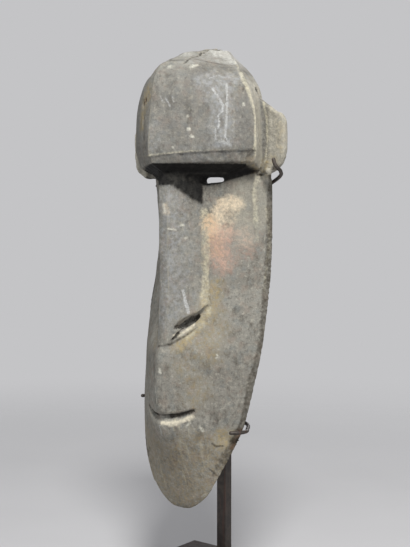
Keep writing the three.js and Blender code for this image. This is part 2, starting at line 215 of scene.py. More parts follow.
def row_values(rows, heights):
    """A smooth reading of a table of rows at the heights."""
    table = np.array(rows, float)
    knots, values = table[:, 0], table[:, 1:]
    slopes = np.diff(values, axis=0) / np.diff(knots)[:, None]
    ends = np.vstack([slopes[:1], (slopes[1:] + slopes[:-1]) / 2, slopes[-1:]])
    heights = np.clip(heights, knots[0], knots[-1])
    low = np.clip(np.searchsorted(knots, heights, side="right") - 1, 0, len(knots) - 2)
    span = knots[low + 1] - knots[low]
    part = ((heights - knots[low]) / span)[:, None]
    span = span[:, None]
    square, cube = part ** 2, part ** 3
    return (
        (2 * cube - 3 * square + 1) * values[low]
        + (cube - 2 * square + part) * span * ends[low]
        + (3 * square - 2 * cube) * values[low + 1]
        + (cube - square) * span * ends[low + 1]
    )


def smooth_step(values, low, high):
    part = np.clip((values - low) / (high - low), 0.0, 1.0)
    return part * part * (3.0 - 2.0 * part)


def bump(values, centre, width):
    """1 at the centre, falling smoothly to 0 at the width away from it."""
    return 1.0 - smooth_step(np.abs(values - centre), 0.0, width)


class Mottle:
    """Smooth random values between 0 and 1 in space, the same on each run."""

    def __init__(self, seed):
        self.table = np.random.default_rng(seed).random((LATTICE_SIDE,) * 3)

    def once(self, places):
        base = np.floor(places).astype(int)
        part = places - base
        part = part * part * (3 - 2 * part)
        total = np.zeros(len(places))
        for corner in np.ndindex(2, 2, 2):
            cell = (base + corner) % LATTICE_SIDE
            weight = np.prod(np.where(corner, part, 1 - part), axis=1)
            total += weight * self.table[cell[:, 0], cell[:, 1], cell[:, 2]]
        return total

    def __call__(self, places, size, stretch=(1.0, 1.0, 1.0), octaves=3):
        scaled = places / (size * np.array(stretch))
        total, weight, sum_of_weights = 0.0, 1.0, 0.0
        for octave in range(octaves):
            total = total + weight * self.once(scaled * 2 ** octave + OCTAVE_SHIFT * octave)
            sum_of_weights += weight
            weight *= 0.5
        return total / sum_of_weights


# Mesh tools

def new_object(name, points, faces, edges=()):
    mesh = bpy.data.meshes.new(name)
    mesh.from_pydata([tuple(point) for point in points], edges, faces)
    mesh.update()
    made = bpy.data.objects.new(name, mesh)
    bpy.context.scene.collection.objects.link(made)
    return made


def modified(made, kind, **settings):
    """Works one modifier into the object's mesh."""
    modifier = made.modifiers.new(kind, kind)
    for name, value in settings.items():
        setattr(modifier, name, value)
    baked(made)


def baked(made):
    bpy.context.view_layer.update()
    seen = made.evaluated_get(bpy.context.evaluated_depsgraph_get())
    mesh = bpy.data.meshes.new_from_object(seen)
    made.modifiers.clear()
    made.data = mesh


def skin(name, rings, sink=0.0):
    """Skin over closed rings, from the bottom up, each counter-clockwise seen from above."""
    rings = np.asarray(rings, float)
    levels, count = rings.shape[:2]
    low_centre = rings[0].mean(axis=0) - (0, 0, sink)
    points = np.vstack([rings.reshape(-1, 3), low_centre, rings[-1].mean(axis=0)]) * MM
    faces = []
    for side in range(count):
        following = (side + 1) % count
        for level in range(levels - 1):
            low, high = level * count, (level + 1) * count
            faces.append((low + side, low + following, high + following, high + side))
        top = (levels - 1) * count
        faces.append((levels * count, following, side))
        faces.append((levels * count + 1, top + side, top + following))
    return new_object(name, points, faces)


def smooth_shaded(made):
    for polygon in made.data.polygons:
        polygon.use_smooth = True


def combine(base, other, operation):
    modified(base, "BOOLEAN", object=other, operation=operation, solver="MANIFOLD")
    bpy.data.objects.remove(other)


def forward(distance):
    """From a forward distance to the frame's y, and back."""
    return RIM_BEHIND_CENTRE - distance


# The mask's solid form, as carved

CHIN_EDGE_THICKNESS = 3.5
CHIN_EDGE_FADE = (112.0, 140.0)
# Half width of the ring's back corner: its share of the rim's, and what a thick edge adds
RING_BACK = (0.98, 0.02)


def cheek_line(crest, swell, arris_ahead, part):
    """How far forward the face stands, from its crest (part 0) to its arris (part 1)."""
    return crest + (arris_ahead - crest) * part + swell * 4 * part * (1 - part)


def ahead_at(rows, outs, heights):
    """How far forward a table's skin stands at half widths and heights."""
    crest, swell, arris_out, arris_ahead, rim_out, rim_ahead = row_values(rows, heights).T
    cheek = cheek_line(crest, swell, arris_ahead, np.clip(outs / arris_out, 0.0, 1.0))
    flank = np.clip((outs - arris_out) / (rim_out - arris_out), 0.0, 1.0)
    return np.where(outs <= arris_out, cheek, arris_ahead + (rim_ahead - arris_ahead) * flank)


def section_ring(row, height, back_reach, fall, lift):
    crest, swell, arris_out, arris_ahead, rim_out, rim_ahead = row
    part = np.linspace(0.0, 1.0, SECTION_STEPS + 1)
    flank = np.linspace(0.0, 1.0, FLANK_STEPS + 1)[1:]
    out = np.concatenate([part * arris_out, arris_out + (rim_out - arris_out) * flank])
    ahead = np.concatenate([
        cheek_line(crest, swell, arris_ahead, part),
        arris_ahead + (rim_ahead - arris_ahead) * flank,
    ])
    if back_reach:
        out = np.append(out, rim_out)
        ahead = np.append(ahead, rim_ahead - back_reach)
    else:
        firm = 1 - smooth_step(height, *CHIN_EDGE_FADE)
        out = np.append(out, rim_out * (RING_BACK[0] + RING_BACK[1] * firm))
        ahead = np.append(ahead, rim_ahead - CHIN_EDGE_THICKNESS * firm)
    up = height - fall * np.maximum(0.0, arris_ahead - ahead) / arris_ahead
    up = up + lift(out, height)
    right = np.stack([out, forward(ahead), up], axis=1)
    left = right[:0:-1] * (-1, 1, 1)
    return np.vstack([left, right])


def carved(name, rows, back_reach=0.0, fall_at=lambda height: 0.0,
           lift=lambda out, height: 0.0, sink=0.0):
    low, high = rows[0][0], rows[-1][0]
    heights = np.linspace(low, high, int((high - low) / LEVEL_STEP) + 1)
    heights = np.unique(np.concatenate([heights, [row[0] for row in rows]]))
    values = row_values(rows, heights)
    rings = [
        section_ring(row, height, back_reach, fall_at(height), lift)
        for row, height in zip(values, heights)
    ]
    return skin(name, rings, sink)


def brow_fall(height):
    bottom = BROW_ROWS[0][0]
    return UNDERSIDE_FALL * max(0.0, (UNDERSIDE_FALL_END - height) / (UNDERSIDE_FALL_END - bottom))


# The bevel's foot, edge and end: heights, how far its ends climb and how wavy it is there
BROW_BEVEL = [BROW_ROWS[0][0], 463.0, 492.0]
BROW_LIFTS = [3.0, 7.5, 0.0]
BROW_WAVES = [0.2, 1.1, 0.0]
BROW_WAVE_LENGTHS = (17.0, 9.5)
BROW_WAVES_START = 0.25


def brow_lift(out, height):
    """The bevel along the brow's lower edge climbs towards its ends in uneven adze cuts."""
    across = np.abs(out) / BROW_ROWS[1][3]
    rise = np.interp(height, BROW_BEVEL, BROW_LIFTS)
    wave = sum(np.sin(out / length * 2 * math.pi + length) for length in BROW_WAVE_LENGTHS)
    waviness = np.interp(height, BROW_BEVEL, BROW_WAVES)
    return np.minimum(across, 1.0) * rise + wave * waviness * np.minimum(across / BROW_WAVES_START, 1.0)


def nose_form():
    bottom = NOSE_ROWS[0][0]
    heights = np.arange(bottom, NOSE_ROWS[-1][0] + 1, NOSE_LEVEL_STEP)
    part = np.linspace(0.0, 1.0, NOSE_FLANK_STEPS)
    swell = NOSE_FLANK_SWELL * 4 * part * (1 - part)
    shoulder_out, shoulder_ahead = NOSE_KEEL_SHOULDER
    rings = []
    for height, row in zip(heights, row_values(NOSE_ROWS, heights)):
        front_out, front_ahead, base_out, base_ahead = row
        fade = max(0.0, (NOSE_WING_RISE_END - height) / (NOSE_WING_RISE_END - bottom))
        wing = height + NOSE_WING_RISE * fade
        half = [[0.0, front_ahead + NOSE_KEEL, height],
                [front_out * shoulder_out, front_ahead + shoulder_ahead, height]]
        half += [
            [front_out + (base_out - front_out) * p, front_ahead + (base_ahead - front_ahead) * p + s,
             height + (wing - height) * p]
            for p, s in zip(part, swell)
        ]
        half += [[base_out, NOSE_BACK, wing], [0.0, NOSE_BACK, height]]
        left = [[-out, ahead, up] for out, ahead, up in half[1:-1][::-1]]
        rings.append([[out, forward(ahead), up] for out, ahead, up in left + half])
    return skin("nose", rings)


def curve_points(start, control, end):
    part = np.linspace(0.0, 1.0, CURVE_STEPS)[:, None]
    start, control, end = (np.array(point, float) for point in (start, control, end))
    return (1 - part) ** 2 * start + 2 * part * (1 - part) * control + part ** 2 * end


def ear_form(side):
    lower_wide, lower_high = EAR_LOWER_CURVE
    upper_wide, upper_high = EAR_UPPER_CURVE
    lower = curve_points(
        (EAR_REACH - lower_wide, EAR_BOTTOM),
        (EAR_REACH, EAR_BOTTOM + EAR_CURVE_LIFT),
        (EAR_REACH, EAR_BOTTOM + lower_high),
    )
    upper = curve_points(
        (EAR_REACH, EAR_SHOULDER - upper_high),
        (EAR_REACH, EAR_SHOULDER),
        (EAR_REACH - upper_wide, EAR_SHOULDER + EAR_CURVE_LIFT),
    )
    outline = np.vstack([
        [(EAR_ROOT, EAR_BOTTOM)], lower, upper,
        [(EAR_ROOT + EAR_TOP_WIDTH, EAR_TOP), (EAR_ROOT, EAR_TOP)],
    ])
    centre = outline.mean(axis=0)
    outwards = outline - centre
    lengths = np.linalg.norm(outwards, axis=1)[:, None]
    rings = []
    for depth, inset in (
        (0.0, EAR_ROUNDING), (EAR_ROUNDING, 0.0),
        (EAR_THICKNESS - EAR_ROUNDING, 0.0), (EAR_THICKNESS, EAR_ROUNDING),
    ):
        shrunk = (outline - inset * outwards / lengths)[::-side]
        rings.append([(side * out, forward(EAR_BACK + depth), up) for out, up in shrunk])
    return outward_skin("ear", rings)


def face_outwards(made):
    """Turns a closed mesh right side out, by the sign of its volume."""
    mesh = made.data
    mesh.calc_loop_triangles()
    corners = np.empty(len(mesh.loop_triangles) * 3, int)
    mesh.loop_triangles.foreach_get("vertices", corners)
    places = mesh_places(mesh)[corners].reshape(-1, 3, 3)
    volume = np.einsum("ij,ij->i", places[:, 0], np.cross(places[:, 1], places[:, 2])).sum()
    if volume < 0:
        mesh.flip_normals()


def outward_skin(name, rings):
    made = skin(name, rings)
    face_outwards(made)
    return made


def mesh_places(mesh):
    places = np.empty(len(mesh.vertices) * 3)
    mesh.vertices.foreach_get("co", places)
    return places.reshape(-1, 3)


def turns(count):
    """Angles of even steps once around."""
    return np.linspace(0, 2 * math.pi, count, endpoint=False)


def knob_form(side):
    centre_out, centre_ahead = side * KNOB_OUT, forward(KNOB_FORWARD)
    turn = turns(KNOB_SIDES)
    rings = []
    for level in np.linspace(-KNOB_CAP, KNOB_CAP, KNOB_LEVELS):
        wide = KNOB_RADIUS * math.sqrt(1 - level * level)
        rings.append(np.stack([
            centre_out + wide * np.cos(turn),
            centre_ahead + wide * np.sin(turn),
            np.full(KNOB_SIDES, KNOB_HEIGHTS[side] + KNOB_RADIUS * level),
        ], axis=1))
    return skin("knob", rings)


def mask_form():
    mask = carved("mask", FACE_ROWS)
    combine(mask, carved("brow", BROW_ROWS, 0.0, brow_fall, brow_lift, UNDERSIDE_SINK), "UNION")
    combine(mask, nose_form(), "UNION")
    for side in (-1, 1):
        combine(mask, ear_form(side), "UNION")
        combine(mask, knob_form(side), "UNION")
    combine(mask, carved("hollow", FACE_HOLLOW_ROWS, HOLLOW_BACK_REACH), "DIFFERENCE")
    combine(mask, carved("brow hollow", BROW_HOLLOW_ROWS, HOLLOW_BACK_REACH), "DIFFERENCE")
    return mask


SLIT_INNER = 23.5
SLIT_OUTER = 42.0
SLIT_INNER_FLOOR = 438.9
SLIT_OUTER_FLOOR = 440.8
SLIT_ROOF = 444.0
SLIT_FRONT = 84.0
SLIT_BACK = -8.0
SLIT_STEPS = 9
SLIT_FLOOR_BEND = 1.3
NOSTRIL_INNER = (10.5, 287.5)
NOSTRIL_OUTER = (27.5, 304.5)
NOSTRIL_OPENING = 5.6
NOSTRIL_DEPTH = 11.0
NOSTRIL_CLEARANCE = 8.0
NOSTRIL_STEPS = 9
NOSTRIL_END_SHARE = 0.35
NOSTRIL_MIDDLE_SHARE = 0.65
NOSTRIL_LEAN = 1.15
MOUTH_HALF_WIDTH = 31.5
MOUTH_HEIGHT = 198.2
MOUTH_END_RISE = 7.0
MOUTH_UPPER_LIP = 2.6
MOUTH_LOWER_LIP = 9.0
MOUTH_DEPTH = 9.5
MOUTH_STEPS = 36
MOUTH_END_SHALLOWER = 0.75
MOUTH_END_NARROWER = 0.5
CUT_CLEARANCE = 12.0
TIE_HOLE_RADIUS = 3.0
TIE_HOLE_FORWARD = 13.0
TIE_HOLE_HEIGHT = 534.0
TIE_HOLE_REACH = (40.0, 100.0)
TIE_HOLE_SIDES = 20


def slit_cutter(side):
    """The see-through eye slit between the top of a cheek and the brow's underside."""
    part = np.linspace(0.0, 1.0, SLIT_STEPS)
    outs = SLIT_INNER + (SLIT_OUTER - SLIT_INNER) * part
    floors = SLIT_INNER_FLOOR + (SLIT_OUTER_FLOOR - SLIT_INNER_FLOOR) * part ** SLIT_FLOOR_BEND
    return outward_skin("slit", [
        [(side * out, forward(SLIT_FRONT), floor), (side * out, forward(SLIT_FRONT), SLIT_ROOF),
         (side * out, forward(SLIT_BACK), SLIT_ROOF), (side * out, forward(SLIT_BACK), floor)]
        for out, floor in zip(outs, floors)
    ])


def nostril_cutter(side):
    """A slanting slot that runs straight into the flank of the nose, tapering at its ends."""
    (inner, low), (outer, high) = NOSTRIL_INNER, NOSTRIL_OUTER
    front_out, front_ahead, base_out, base_ahead = NOSE_ROWS[1][1:]
    slope = (front_ahead - base_ahead) / (base_out - front_out)
    along = np.array([outer - inner, high - low]) / math.hypot(outer - inner, high - low)
    rings = []
    for part in np.linspace(0.0, 1.0, NOSTRIL_STEPS):
        out = inner + (outer - inner) * part
        up = low + (high - low) * part
        arch = math.sin(math.pi * min(part * NOSTRIL_LEAN, 1.0))
        half = NOSTRIL_OPENING / 2 * (NOSTRIL_END_SHARE + NOSTRIL_MIDDLE_SHARE * arch)
        ahead = front_ahead - slope * (out - front_out)
        step = (-along[1] * half, along[0] * half)
        rings.append([
            (side * (out + sign * step[0]), forward(ahead + reach), up + sign * step[1])
            for sign, reach in ((1, NOSTRIL_CLEARANCE), (1, -NOSTRIL_DEPTH),
                                (-1, -NOSTRIL_DEPTH), (-1, NOSTRIL_CLEARANCE))
        ])
    return outward_skin("nostril", rings)


def mouth_cutter():
    """A wedge swept across the face along the mouth's crescent, its ends turned up."""
    steps = np.linspace(-1.0, 1.0, MOUTH_STEPS)
    outs = steps * MOUTH_HALF_WIDTH
    faces = ahead_at(FACE_ROWS, abs(outs), np.full(MOUTH_STEPS, MOUTH_HEIGHT))
    rings = []
    for across, out, face in zip(steps, outs, faces):
        height = MOUTH_HEIGHT + MOUTH_END_RISE * across ** 2
        depth = MOUTH_DEPTH * (1 - MOUTH_END_SHALLOWER * across ** 2)
        open_part = 1 - MOUTH_END_NARROWER * across ** 2
        spread = (depth + CUT_CLEARANCE) / depth
        front = forward(face + CUT_CLEARANCE)
        rings.append([
            (out, forward(face - depth), height),
            (out, front, height + MOUTH_UPPER_LIP * spread * open_part),
            (out, front, height - MOUTH_LOWER_LIP * spread * open_part),
        ])
    return outward_skin("mouth", rings)


def tie_hole_cutter(side):
    return outward_skin("tie hole", [
        [(side * out, forward(TIE_HOLE_FORWARD) + TIE_HOLE_RADIUS * math.cos(angle),
          TIE_HOLE_HEIGHT + TIE_HOLE_RADIUS * math.sin(angle)) for angle in turns(TIE_HOLE_SIDES)]
        for out in TIE_HOLE_REACH
    ])


def cut_openings(mask):
    for side in (-1, 1):
        combine(mask, slit_cutter(side), "DIFFERENCE")
        combine(mask, nostril_cutter(side), "DIFFERENCE")
        combine(mask, tie_hole_cutter(side), "DIFFERENCE")
    combine(mask, mouth_cutter(), "DIFFERENCE")


# The carver's tool marks, worked into the fine mesh

class Skin:
    """A mesh's places in millimetres, with its normals and its vertices' neighbours."""

    def __init__(self, mesh):
        self.mesh = mesh
        self.places = mesh_places(mesh) / MM
        ends = np.empty(len(mesh.edges) * 2, int)
        mesh.edges.foreach_get("vertices", ends)
        self.ends = ends.reshape(-1, 2)
        self.valence = np.bincount(ends, minlength=len(self.places))[:, None]
        self.renew()

    def around(self, values):
        """The mean of each vertex's neighbours."""
        first, second = self.ends.T
        columns = values.reshape(len(values), -1)
        sums = [
            np.bincount(first, columns[second, k], len(values))
            + np.bincount(second, columns[first, k], len(values))
            for k in range(columns.shape[1])
        ]
        return (np.stack(sums, axis=1) / self.valence).reshape(values.shape)

    def renew(self):
        """Writes the places back to the mesh and reads its normals anew."""
        self.mesh.vertices.foreach_set("co", (self.places * MM).ravel())
        self.mesh.update()
        normals = np.empty(len(self.places) * 3)
        self.mesh.vertices.foreach_get("normal", normals)
        self.normals = normals.reshape(-1, 3)

    def relax(self, times, strength=0.5, where=1.0):
        weight = np.broadcast_to(np.asarray(where, float).reshape(-1, 1), (len(self.places), 1))
        for _ in range(times):
            self.places += strength * weight * (self.around(self.places) - self.places)
        self.renew()

    def settle(self, surface, rounds):
        """Draws the vertices back onto the surface that the even mesh was made from."""
        for _ in range(rounds):
            self.relax(1)
            for index, place in enumerate(self.places):
                self.places[index] = surface.find_nearest(place)[0]
        self.renew()

    def push(self, depth):
        """Moves each vertex inwards by its depth."""
        self.places -= self.normals * np.asarray(depth)[:, None]
        self.renew()

    def bend(self, spread):
        """How much the surface stands out of its neighbourhood, in millimetres."""
        mean = self.places
        for _ in range(spread):
            mean = self.around(mean)
        return np.einsum("ij,ij->i", self.places - mean, self.normals)


# Tool cuts: how many, the farthest that one goes, how much longer they are up the grain, their
# depth, their rise for each square millimetre from the middle, their tilt, and the random seed
FACE_CUTS = (190, 30.0, 2.2, 0.42, 0.0020, 0.030, 3)
BROW_CUTS = (130, 28.0, 1.5, 0.42, 0.0022, 0.032, 5)
TOP_CUTS = (110, 20.0, 1.0, 1.25, 0.0050, 0.10, 7)
EAR_CUTS = (90, 18.0, 1.4, 0.5, 0.0040, 0.06, 9)
HOLLOW_FURROWS = (1100, 17.0, 2.8, 2.0, 0.015, 0.10, 13)
CUT_STARTS_ABOVE = 0.3
CUT_ENDS_BELOW = 0.02
SHALLOWEST_CUT = 0.35
CUTS_LOOKED_AT = 5
DEEPEST_SHARE = 1.6


def tool_cuts(skin_, where, count, reach, stretch, depth, curve, tilt, seed):
    """Depth of many shallow, slightly hollow cuts, one round each of the random seed points."""
    chance = np.random.default_rng(seed)
    candidates = np.flatnonzero(where > CUT_STARTS_ABOVE)
    picked = chance.choice(candidates, size=min(count, len(candidates)), replace=False)
    lean = np.array([1.0, 1.0, 1.0 / stretch])
    tree = KDTree(len(picked))
    for index, vertex in enumerate(picked):
        tree.insert(skin_.places[vertex] * lean, index)
    tree.balance()
    planes = skin_.normals[picked] + chance.normal(0, tilt, (len(picked), 3))
    planes /= np.linalg.norm(planes, axis=1)[:, None]
    sunk = depth * chance.uniform(SHALLOWEST_CUT, 1.0, len(picked))
    cuts = np.zeros(len(skin_.places))
    for vertex in np.flatnonzero(where > CUT_ENDS_BELOW):
        place = skin_.places[vertex]
        deepest = 0.0
        for _, index, distance in tree.find_n(place * lean, CUTS_LOOKED_AT):
            if distance > reach:
                break
            centre = skin_.places[picked[index]]
            rise = (centre - place) @ planes[index] - sunk[index] + curve * distance * distance
            deepest = min(deepest, rise)
        cuts[vertex] = -deepest
    return np.clip(cuts, 0.0, depth * DEEPEST_SHARE) * where


NEAR_HOLLOW = 1.6


def in_hollow(rows, outs, ahead, heights):
    arris_out, _, rim_out = row_values(rows, heights)[:, 2:5].T
    within = (heights > rows[0][0] - NEAR_HOLLOW) & (heights < rows[-1][0] + NEAR_HOLLOW)
    within &= outs < np.maximum(rim_out, arris_out) + NEAR_HOLLOW
    return within & (ahead < ahead_at(rows, outs, heights) + NEAR_HOLLOW)


PITS = [
    ((-22.0, 520.0), 4.5, 2.2),
    ((-15.0, 522.0), 3.0, 1.4),
    ((-19.0, 505.0), 3.2, 0.8),
    ((54.0, 176.0), 7.0, 1.1),
    ((62.0, 173.0), 5.5, 1.3),
    ((64.0, 181.0), 3.5, 1.0),
    ((26.0, 557.0), 3.5, 0.6),
    ((72.0, 503.0), 2.6, 0.7),
    ((-58.0, 300.0), 4.0, 0.8),
    ((-44.0, 152.0), 5.0, 0.9),
]
TOP_CRACK = [(10.5, 588), (14.5, 582), (12.5, 577), (17.5, 571), (14.5, 566), (17.0, 560)]
KEEL_WIDTH = 11.0
KEEL_TOP = 274.0
BEVEL_EDGE = ([-82, -40, 0, 19, 35, 66, 82], [471, 467, 463, 466, 467.5, 470, 471])
BEVEL_LOWEST = 448.0
BEVEL_STEP = 1.1
CRACK_WIDTH = 1.3
CRACK_DEPTH = 1.8


def distance_to_line(points, outs, heights):
    """Least distance from each place, seen from the front, to a line through the points."""
    line = np.array(points, float)
    places = np.stack([outs, heights], axis=1)
    least = np.full(len(places), np.inf)
    for start, end in zip(line[:-1], line[1:]):
        along = end - start
        part = np.clip(((places - start) @ along) / (along @ along), 0.0, 1.0)[:, None]
        least = np.minimum(least, np.linalg.norm(places - start - part * along, axis=1))
    return least


def hollow_share(places):
    """1 for the places on the mask's hollow back, 0 outside, in millimetres."""
    x, y, z = places.T
    seen = (abs(x), forward(y), z)
    return (in_hollow(FACE_HOLLOW_ROWS, *seen) | in_hollow(BROW_HOLLOW_ROWS, *seen)).astype(float)


def thin_inside(mask):
    """Fewer, larger faces in the hollow, where the gouge cuts are broad."""
    hollow = hollow_share(mesh_places(mask.data) / MM)
    vertex_group = mask.vertex_groups.new(name="hollow")
    vertex_group.add(np.flatnonzero(hollow).tolist(), 1.0, "REPLACE")
    modified(mask, "DECIMATE", vertex_group="hollow", use_collapse_triangulate=True, ratio=KEPT_SHARE)
    mask.vertex_groups.clear()


def surface_of(mesh):
    """The mesh's surface in millimetres, to look up nearest places on."""
    mesh.calc_loop_triangles()
    triangles = [tuple(triangle.vertices) for triangle in mesh.loop_triangles]
    return BVHTree.FromPolygons((mesh_places(mesh) / MM).tolist(), triangles, all_triangles=True)


RIM_EDGE_BAND = 6.0
RIM_EDGE_FOOT = (118.0, 130.0)
RIM_EDGE_HEAD = (430.0, 444.0)
RIM_BIN = 2.0
RIM_OUT_OF_REACH = 0.9
RIM_SMOOTHING = 0.4
SMALLEST_GAP = 0.01
RIM_PULL = (0.9, 2.2)
RIM_WORN = 2.5
RIM_CLEAR = (1.0, 7.0)


def distances(first, second):
    return np.linalg.norm(first - second, axis=1)


def firm_rim_edge(wood):
    """Stretches the skin beside the rim's outer edge out to that edge, then wears it slightly.

    Returns 0 on the edge, rising to 1 away from it, so that tool cuts leave it even."""
    z = wood.places[:, 2]
    clear = np.ones(len(z))
    spans = np.arange(RIM_EDGE_FOOT[0], RIM_EDGE_HEAD[1], RIM_BIN)
    for side in (1, -1):
        rim_out, rim_ahead = row_values(FACE_ROWS, z)[:, 4:6].T
        edge = np.stack([side * rim_out, forward(rim_ahead), z], axis=1)
        away = distances(edge, wood.places)
        short = np.array([
            np.min(away[(z >= low) & (z < low + RIM_BIN)], initial=RIM_EDGE_BAND) for low in spans
        ])
        short[short > RIM_OUT_OF_REACH * RIM_EDGE_BAND] = 0.0
        short = np.interp(z, spans + RIM_BIN / 2, short)
        short *= smooth_step(z, *RIM_EDGE_FOOT) * (1 - smooth_step(z, *RIM_EDGE_HEAD))
        near = (away < RIM_EDGE_BAND) & (short > 0)
        reach = (away - short) / (RIM_EDGE_BAND - short) * RIM_EDGE_BAND / np.maximum(away, SMALLEST_GAP)
        moved = edge + (wood.places - edge) * np.maximum(reach, 0.0)[:, None]
        wood.places[near] = moved[near]
        within = (z > RIM_EDGE_FOOT[0]) & (z < RIM_EDGE_HEAD[1])
        away = distances(edge, wood.places)
        pull = within * (1 - smooth_step(away, *RIM_PULL))
        wood.places += (edge - wood.places) * pull[:, None]
        away = distances(edge, wood.places)
        wood.relax(1, RIM_SMOOTHING, within & (away < RIM_WORN))
        clear = np.minimum(clear, np.where(within, smooth_step(away, *RIM_CLEAR), 1.0))
    return clear


BROAD_SEED = 11
FINE_SEED = 23
# Where each kind of tool work lies on the mask, in millimetres
FRONT_FACING = (-0.35, 0.05)
FACE_TOP = (446, 454)
BROW_FOOT = (458, 464)
BROW_HEAD = (550, 560)
TOP_FOOT = (546, 558)
EARS_START = (80, 84)
BROW_HALF_WIDTH = 82
SETTLE_ROUNDS = 3
LIGHT_SMOOTHING = 0.3
FURROW_SMOOTHING = 0.35
KEEL_SMOOTHING = (24, 0.6)
# Uneven places: depth, size, octaves, stretch and the value that counts as level
WAVES = (0.9, 48.0, 2, (1, 1, 1.6), 0.42)
GRAIN_RIDGES = (0.16, 2.6, 2, (1, 1, 5))
CHIP_BEND = (0.10, 0.42)
CHIP_PATCHES = (9.0, 2, (0.58, 0.78))
CHIP_SPREAD = 3
CHIP_DEPTH = 0.5
CHIPS_IN_HOLLOW = 0.4
PIT_STRETCH = 0.8
PIT_RAGGEDNESS = (0.35, 3.0)
PIT_SLOPE = (0.25, 1.0)
BEVEL_RAGGEDNESS = (1.6, 12.0, 2)
BEVEL_SLOPE = (-0.4, 1.0)
BEVEL_BEHIND = -20
CRACK_RAGGEDNESS = (0.5, 4.0)
CRACK_FLOOR = 0.3


def uneven(wood, mottle, depth, size, octaves=3, stretch=(1, 1, 1), level=0.5):
    """Smooth random depths round 0, one for each vertex."""
    return depth * (mottle(wood.places, size, stretch, octaves) - level)


def carve_details(mask, surface):
    """Adze facets outside, gouge furrows in the hollow, chips, pits and the crack at the top."""
    wood = Skin(mask.data)
    wood.relax(1)
    wood.settle(surface, SETTLE_ROUNDS)
    wood.relax(1, LIGHT_SMOOTHING)
    clear = firm_rim_edge(wood)
    x, y, z = wood.places.T
    inside = wood.around(wood.around(hollow_share(wood.places)))
    outside = 1.0 - inside
    mottle = Mottle(BROAD_SEED)
    fine = Mottle(FINE_SEED)

    wood.push(uneven(wood, mottle, *WAVES) * outside)
    front = outside * smooth_step(-wood.normals[:, 1], *FRONT_FACING)
    between_ears = abs(x) < BROW_HALF_WIDTH
    on_face = front * (1 - smooth_step(z, *FACE_TOP)) * between_ears
    on_brow = outside * smooth_step(z, *BROW_FOOT) * (1 - smooth_step(z, *BROW_HEAD)) * between_ears
    on_top = outside * smooth_step(z, *TOP_FOOT)
    on_ears = outside * smooth_step(abs(x), *EARS_START)
    wood.push(clear * sum(
        tool_cuts(wood, where, *cuts) for where, cuts in (
            (on_face, FACE_CUTS), (on_brow, BROW_CUTS), (on_top, TOP_CUTS), (on_ears, EAR_CUTS))
    ))
    wood.push(tool_cuts(wood, inside, *HOLLOW_FURROWS))
    wood.relax(1, FURROW_SMOOTHING)
    keel = outside * bump(x, 0.0, KEEL_WIDTH) * (z < KEEL_TOP)
    wood.relax(*KEEL_SMOOTHING, keel)

    chips = smooth_step(wood.bend(CHIP_SPREAD), *CHIP_BEND)
    size, octaves, patches = CHIP_PATCHES
    chips *= smooth_step(mottle(wood.places, size, octaves=octaves), *patches)
    wood.push(chips * clear * CHIP_DEPTH * (CHIPS_IN_HOLLOW + (1 - CHIPS_IN_HOLLOW) * outside))
    depth = np.zeros(len(x))
    for (out, height), radius, deep in PITS:
        near = np.hypot(x - out, (z - height) * PIT_STRETCH) / radius
        near += uneven(wood, fine, *PIT_RAGGEDNESS)
        depth += deep * (1 - smooth_step(near, *PIT_SLOPE)) * front
    below_edge = np.interp(x, *BEVEL_EDGE) + uneven(wood, fine, *BEVEL_RAGGEDNESS) - z
    below_edge = smooth_step(below_edge, *BEVEL_SLOPE) * (z > BEVEL_LOWEST) * (y < BEVEL_BEHIND)
    depth += BEVEL_STEP * below_edge * front
    crack = distance_to_line(TOP_CRACK, x, z) + uneven(wood, fine, *CRACK_RAGGEDNESS)
    depth += CRACK_DEPTH * (1 - smooth_step(crack, CRACK_FLOOR, CRACK_WIDTH)) * outside
    wood.push(depth)
    wood.push(uneven(wood, fine, *GRAIN_RIDGES))
    low, high = (np.array(corner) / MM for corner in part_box("wooden_mask"))
    wood.places = np.clip(wood.places, low, high)
    wood.renew()
    return wood, inside


# Short pale scrapes on the chin: count, seed, and the ranges of each one's values
SCRAPES = 26
SCRAPE_SEED = 47
SCRAPE_RANGES = [
    ("out", -24, 52), ("foot", 112, 186), ("length", 6, 20), ("lean", -2.5, 2.5),
    ("half width", 0.6, 1.5), ("strength", 0.35, 0.9),
]


def upright_scrapes():
    """Nearly upright scrapes, as a blade leaves them, as strokes."""
    draw = random.Random(SCRAPE_SEED)
    scrapes = []
    for _ in range(SCRAPES):
        out, foot, length, lean, half_width, strength = (
            draw.uniform(low, high) for _, low, high in SCRAPE_RANGES)
        scrapes.append(([(out, foot), (out + lean, foot + length)], half_width, strength))
    return scrapes


def strokes(*rows):
    """Strokes from rows of half width, strength, then each point's out and height."""
    return [(list(zip(row[2::2], row[3::2])), row[0], row[1]) for row in rows]


